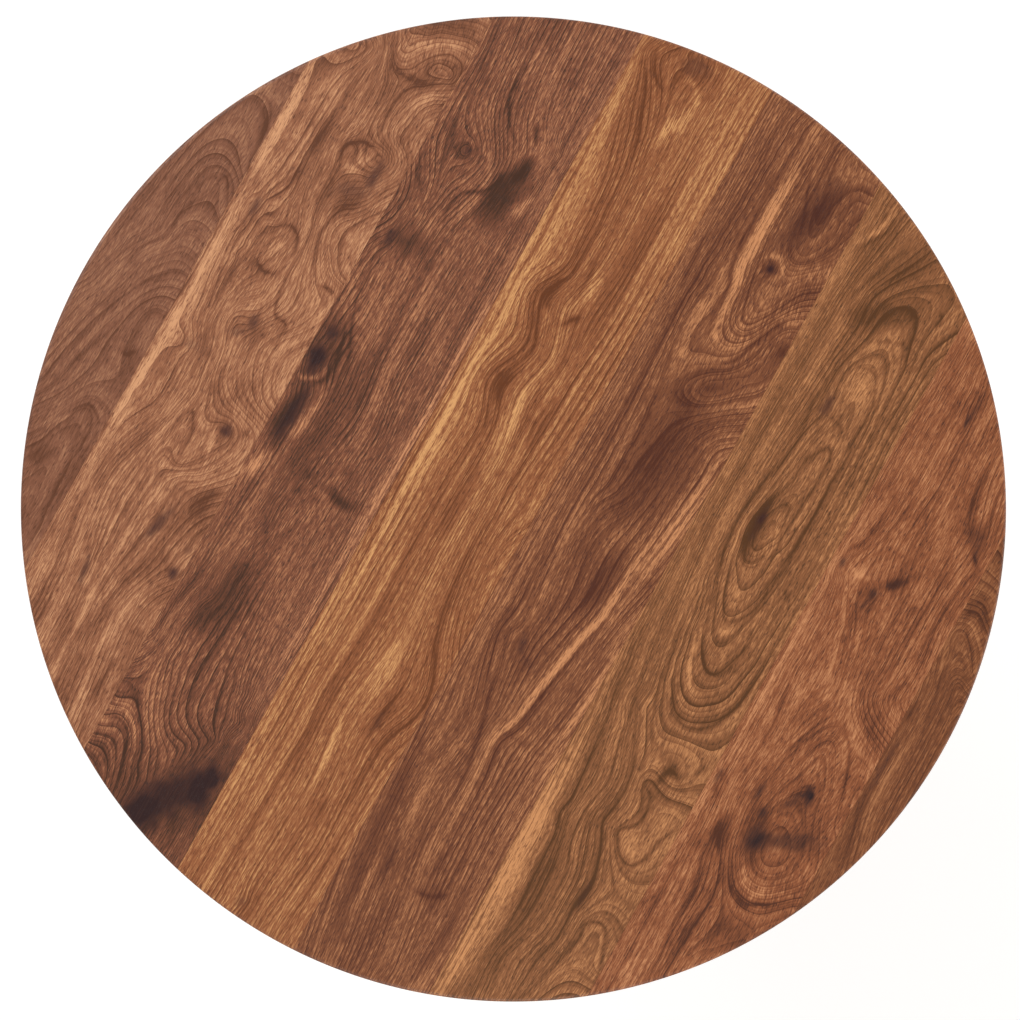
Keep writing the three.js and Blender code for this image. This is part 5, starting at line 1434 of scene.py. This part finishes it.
def makeBrace():
    # a three-armed plate: round arm ends, and the disc's rim between them
    b = braceSizes
    outline = []
    for degrees in sorted(legTurns.values()):
        t = math.radians(degrees)
        for k in range(b["armSteps"] + 1):
            a = math.pi * (k / b["armSteps"] - 0.5)
            x, y = b["armReach"] + b["armHalf"] * math.cos(a), b["armHalf"] * math.sin(a)
            outline.append((x * math.cos(t) - y * math.sin(t), x * math.sin(t) + y * math.cos(t)))
        shoulder = math.asin(b["armHalf"] / b["disc"])
        for k in range(b["discSteps"] + 1):
            a = t + shoulder + (math.radians(120) - 2 * shoulder) * k / b["discSteps"]
            outline.append((b["disc"] * math.cos(a), b["disc"] * math.sin(a)))
    low = b["top"] - b["thickness"]
    plate = prism("bracePlate", [(x, y, low) for x, y in outline], [(x, y, b["top"]) for x, y in outline],
                  blackIron)
    bevelEdges(plate, 0.5, 2, 60)
    tools = []
    for degrees in legTurns.values():
        t = math.radians(degrees)
        for reach in (b["legScrew"], -b["columnScrew"]):
            tools.append(rodTool("z", b["hole"], low - 2, b["top"] + 2,
                                 (reach * math.cos(t), reach * math.sin(t), 0), 24))
    joinOrCut(plate, tools)
    settle(plate, "pedestal", "black_iron", "brace_plate")


makeColumn()
makeWedge()
makeLegs()
makeGlides()
makeBrace()
print("column, legs and brace made")


# Sizes inside the screw, each with its operation and what goes in: a socket, an earlier size or a number.
screwMaths = (
    ("rimHeight", "MULTIPLY", "Head Height", 0.3),
    ("headRest", "SUBTRACT", "Head Height", "rimHeight"),
    ("tipLength", "MULTIPLY", "Shank Radius", 3.0),
    ("tipFrom", "SUBTRACT", "Length", "tipLength"),
    ("straight", "SUBTRACT", "tipFrom", "Head Height"),
    ("slotLength", "MULTIPLY", "Head Radius", 4.0),
    ("slotHeight", "MULTIPLY", "Slot Depth", 2.0),
)
# Cones that a screw is made of: lower radius, upper radius, depth, lift, sides.
screwParts = {
    "rim": ("Outer Radius", "Head Radius", "rimHeight", 0.0, 32),
    "head": ("Head Radius", "Inner Radius", "headRest", "rimHeight", 32),
    "shank": ("Shank Radius", "Shank Radius", "straight", "Head Height", 16),
    "tip": ("Shank Radius", 0.0, "tipLength", "tipFrom", 16),
}
screwInputs = {"Head Radius": "head", "Outer Radius": "outer", "Inner Radius": "inner",
               "Head Height": "height",
               "Shank Radius": "shank", "Length": "length", "Slot Width": "cut", "Slot Depth": "cutDepth"}


def makeScrewTree():
    # one slotted screw on every point: head, shank and tip, turned to its own angle
    tree = bpy.data.node_groups.new("slottedScrews", "GeometryNodeTree")
    face = tree.interface
    sockets = {"Spots": "Geometry", **dict.fromkeys(screwInputs, "Float"), "Turn": "Vector", "Seed": "Int",
               "Finish": "Material"}
    for name, kind in sockets.items():
        face.new_socket(name=name, in_out="INPUT", socket_type="NodeSocket" + kind)
    face.new_socket(name="Screws", in_out="OUTPUT", socket_type="NodeSocketGeometry")
    made = {socket.name: socket for socket in addNode(tree, "NodeGroupInput").outputs}
    for name, operation, *feeds in screwMaths:
        inputs = {k: made[feed] if isinstance(feed, str) else feed for k, feed in enumerate(feeds)}
        made[name] = addNode(tree, "ShaderNodeMath", inputs, operation=operation).outputs[0]
    slotSize = addNode(tree, "ShaderNodeCombineXYZ", {0: made["slotLength"], 1: made["Slot Width"],
                                                      2: made["slotHeight"]}).outputs[0]
    cutter = addNode(tree, "GeometryNodeMeshCube", {"Size": slotSize}).outputs["Mesh"]
    screw = addNode(tree, "GeometryNodeJoinGeometry")
    for name, feeds in screwParts.items():
        low, high, depth, lift, sides = (made[feed] if isinstance(feed, str) else feed for feed in feeds)
        cone = addNode(tree, "GeometryNodeMeshCone",
                       {"Vertices": sides, "Radius Bottom": low, "Radius Top": high,
                        "Depth": depth}).outputs["Mesh"]
        move = addNode(tree, "ShaderNodeCombineXYZ", {2: lift}).outputs[0]
        part = addNode(tree, "GeometryNodeTransform", {"Geometry": cone, "Translation": move}).outputs[0]
        if name in ("rim", "head"):
            part = addNode(tree, "GeometryNodeMeshBoolean", {"Mesh 1": part, "Mesh 2": cutter},
                           operation="DIFFERENCE", solver="EXACT").outputs[0]
        tree.links.new(part, screw.inputs[0])
    spin = addNode(tree, "FunctionNodeRandomValue", {"Min": (0.0, 0.0, 0.0), "Max": (0.0, 0.0, 6.283),
                                                     "Seed": made["Seed"]},
                   data_type="FLOAT_VECTOR").outputs[0]
    turn, spun = (addNode(tree, "FunctionNodeEulerToRotation", {0: euler}).outputs[0]
                  for euler in (made["Turn"], spin))
    both = addNode(tree, "FunctionNodeRotateRotation", {0: turn, 1: spun}, rotation_space="LOCAL").outputs[0]
    placed = addNode(tree, "GeometryNodeInstanceOnPoints",
                     {"Points": made["Spots"], "Instance": screw.outputs[0],
                      "Rotation": both}).outputs[0]
    plain = addNode(tree, "GeometryNodeRealizeInstances", {"Geometry": placed}).outputs[0]
    done = addNode(tree, "GeometryNodeSetMaterial",
                   {"Geometry": plain, "Material": made["Finish"]}).outputs[0]
    addNode(tree, "NodeGroupOutput", {"Screws": done})
    return tree


screwTree = makeScrewTree()


down = (0.0, 0.0, 0.0)
sideways = (math.pi / 2, 0.0, 0.0)
# Sizes of screws and nails: inner is the head's radius where it meets the shank, and cut the slot's width.
brassScrew = {"slot": "aged_brass", "finish": agedBrass, "head": 3.2, "outer": 3.1, "inner": 1.6,
              "height": 1.8,
              "shank": 1.6, "length": 16.0, "cut": 0.8}
steelScrew = {"slot": "steel", "finish": screwSteel, "turn": down}
screwKinds = {
    "battenScrews": dict(steelScrew, body="top", head=4.4, outer=3.6, inner=4.4, height=3.0, shank=2.2,
                         length=34.0, cut=1.1, seed=3),
    "boltPlateScrews": dict(brassScrew, body="top", turn=down, seed=5),
    "strikeScrews": dict(brassScrew, body="pedestal", turn=sideways, seed=8),
    "braceScrews": dict(steelScrew, body="pedestal", head=4.4, outer=3.4, inner=4.4, height=2.2, shank=2.0,
                        length=26.0, cut=1.1, seed=13),
    "glideNails": dict(steelScrew, body="pedestal", head=4.0, outer=3.7, inner=4.0, height=1.2, shank=1.1,
                       length=17.0, cut=0.0, seed=21),
}
screwHeads = {"batten": 671.8, "plate": battenSizes["seat"] - plateSizes["thickness"], "brace": 90.9,
              "glide": 1.1}


def legSpots(reaches, height):
    turns = [math.radians(degrees) for degrees in legTurns.values()]
    return [(reach * math.cos(turn), reach * math.sin(turn), height) for turn in turns for reach in reaches]


# Where each kind goes, and the nodes it stands for in the same order.
screwSpots = {
    "battenScrews": [(sign * battenSizes["x"], y, screwHeads["batten"])
                     for sign in (-1, 1) for y in battenSizes["screwY"]],
    "boltPlateScrews": [(sign * plateSizes["screwX"], y, screwHeads["plate"])
                        for sign in (-1, 1) for y in plateSizes["screwY"]],
    "strikeScrews": [(sign * strikeSizes["screwX"], strikeSizes["far"], boltZ) for sign in (-1, 1)],
    "braceScrews": legSpots((braceSizes["legScrew"], -braceSizes["columnScrew"]), screwHeads["brace"]),
    "glideNails": legSpots((legSizes["foot"],), screwHeads["glide"]),
}
screwNodes = {
    "battenScrews": [f"batten_screw_{side}_{k}" for side in ("left", "right") for k in range(1, 7)],
    "boltPlateScrews": [f"bolt_plate_screw_{k}" for k in range(1, 5)],
    "strikeScrews": ["strike_screw_1", "strike_screw_2"],
    "braceScrews": [f"brace_screw_{into}_{side}" for side in nodeSides.values()
                    for into in ("leg", "column")],
    "glideNails": [f"glide_nail_{side}" for side in nodeSides.values()],
}


def makeScrews(name, kind):
    mesh = bpy.data.meshes.new(name)
    mesh.from_pydata([[v * mm for v in spot] for spot in screwSpots[name]], [], [])
    piece = bpy.data.objects.new(name, mesh)
    scene.collection.objects.link(piece)
    nodes = piece.modifiers.new("screws", "NODES")
    nodes.node_group = screwTree
    sizes = dict(kind, cutDepth=kind["cut"] * 1.1)
    values = {socket: sizes[key] * mm for socket, key in screwInputs.items()}
    values.update({"Turn": kind["turn"], "Seed": kind["seed"], "Finish": kind["finish"]})
    for item in screwTree.interface.items_tree:
        if item.in_out == "INPUT" and item.name in values:
            nodes[item.identifier] = values[item.name]
    applyModifiers(piece, 40)
    settle(piece, kind["body"], kind["slot"], *screwNodes[name])
    print(name, len(piece.data.vertices), "points")


for name, kind in screwKinds.items():
    makeScrews(name, kind)


studio = {
    "floorRadius": 9.0,
    "floorSides": 96,
    "floorColour": "#f2f2f1",
    "floorGlow": 0.36,
    "worldColour": "#f4f6f8",
    "worldStrength": 0.38,
    "backdrop": 0.86,  # how bright the plain backdrop behind the floor looks
    "lens": 100.0,
    "cameraHeight": 2.585,  # above the top
    "cameraTurn": -60.8,  # the boards run up to the right in the view
    "cameraShift": (-0.0023, 0.0023),
}
softboxes = {  # place, target, size, watts, colour
    "keySoftbox": ((1.0, 3.4, 3.6), (0, 0, 0.6), (2.6, 2.6), 96, "#fbfcff"),
    "leftSoftbox": ((-3.2, -1.6, 3.4), (0, 0, 0.6), (2.6, 2.6), 64, "#ffffff"),
    "frontFill": ((1.2, -4.0, 2.4), (0, 0, 0.5), (2.4, 2.0), 60, "#fffaf4"),
    "sideFill": ((4.2, -0.4, 2.2), (0, 0, 0.4), (2.0, 2.0), 40, "#fffdfa"),
}


def makeFloor():
    # matte painted board: no gloss, a faint speckle, and a glow that lifts its own shadows a little
    material = newMaterial("matteStudioFloor")
    tree = material.node_tree
    place = addNode(tree, "ShaderNodeTexCoord").outputs["Object"]
    speckle = addNode(tree, "ShaderNodeTexNoise", {"Vector": place, "Scale": 900.0, "Detail": 2.0}).outputs[0]
    base = toLinear(studio["floorColour"])
    darker = [c * 0.985 for c in base[:3]] + [1.0]
    colour = addNode(tree, "ShaderNodeMix", {0: speckle, 6: darker, 7: base}, data_type="RGBA").outputs[2]
    shader = addNode(tree, "ShaderNodeBsdfPrincipled", {"Base Color": colour, "Roughness": 0.9,
                                                        "Specular IOR Level": 0.1, "Emission Color": base,
                                                        "Emission Strength": studio["floorGlow"]})
    addNode(tree, "ShaderNodeOutputMaterial", {"Surface": shader.outputs[0]})
    sides, radius = studio["floorSides"], studio["floorRadius"] / mm
    turns = [2 * math.pi * k / sides for k in range(sides)]
    floor = makePiece("studioFloor", [(math.cos(t) * radius, math.sin(t) * radius, 0.0) for t in turns],
                      [tuple(range(sides))], material)


def makeLight(name, place, target, size, watts, colour):
    lamp = bpy.data.lights.new(name, "AREA")
    lamp.shape = "RECTANGLE"
    lamp.size, lamp.size_y = size
    lamp.energy = watts
    lamp.color = toLinear(colour)[:3]
    holder = bpy.data.objects.new(name, lamp)
    holder.location = place
    holder.rotation_euler = (Vector(target) - Vector(place)).to_track_quat("-Z", "Y").to_euler()
    scene.collection.objects.link(holder)


def makeWorld():
    # a pale room that lights the table softly and looks brighter than it lights
    world = bpy.data.worlds.new("studioWorld")
    world.use_nodes = True
    tree = world.node_tree
    tree.nodes.clear()
    seen = addNode(tree, "ShaderNodeLightPath").outputs["Is Camera Ray"]
    strength = addNode(tree, "ShaderNodeMath", {0: seen, 1: studio["backdrop"] - studio["worldStrength"],
                                                2: studio["worldStrength"]},
                       operation="MULTIPLY_ADD").outputs[0]
    sky = addNode(tree, "ShaderNodeBackground", {"Color": toLinear(studio["worldColour"]),
                                                 "Strength": strength}).outputs[0]
    addNode(tree, "ShaderNodeOutputWorld", {"Surface": sky})
    scene.world = world
    scene.view_settings.view_transform = "Standard"


def makeCamera():
    lens = bpy.data.cameras.new("camera")
    lens.lens = studio["lens"]
    lens.sensor_width = 36.0
    lens.clip_end = 60.0
    camera = bpy.data.objects.new("camera", lens)
    camera.location = (*studio["cameraShift"], topSizes["upper"] * mm + studio["cameraHeight"])
    camera.rotation_euler = (0, 0, math.radians(studio["cameraTurn"]))
    scene.collection.objects.link(camera)
    scene.camera = camera


makeFloor()
for name, settings in softboxes.items():
    makeLight(name, *settings)
makeWorld()
makeCamera()
print("studio ready")
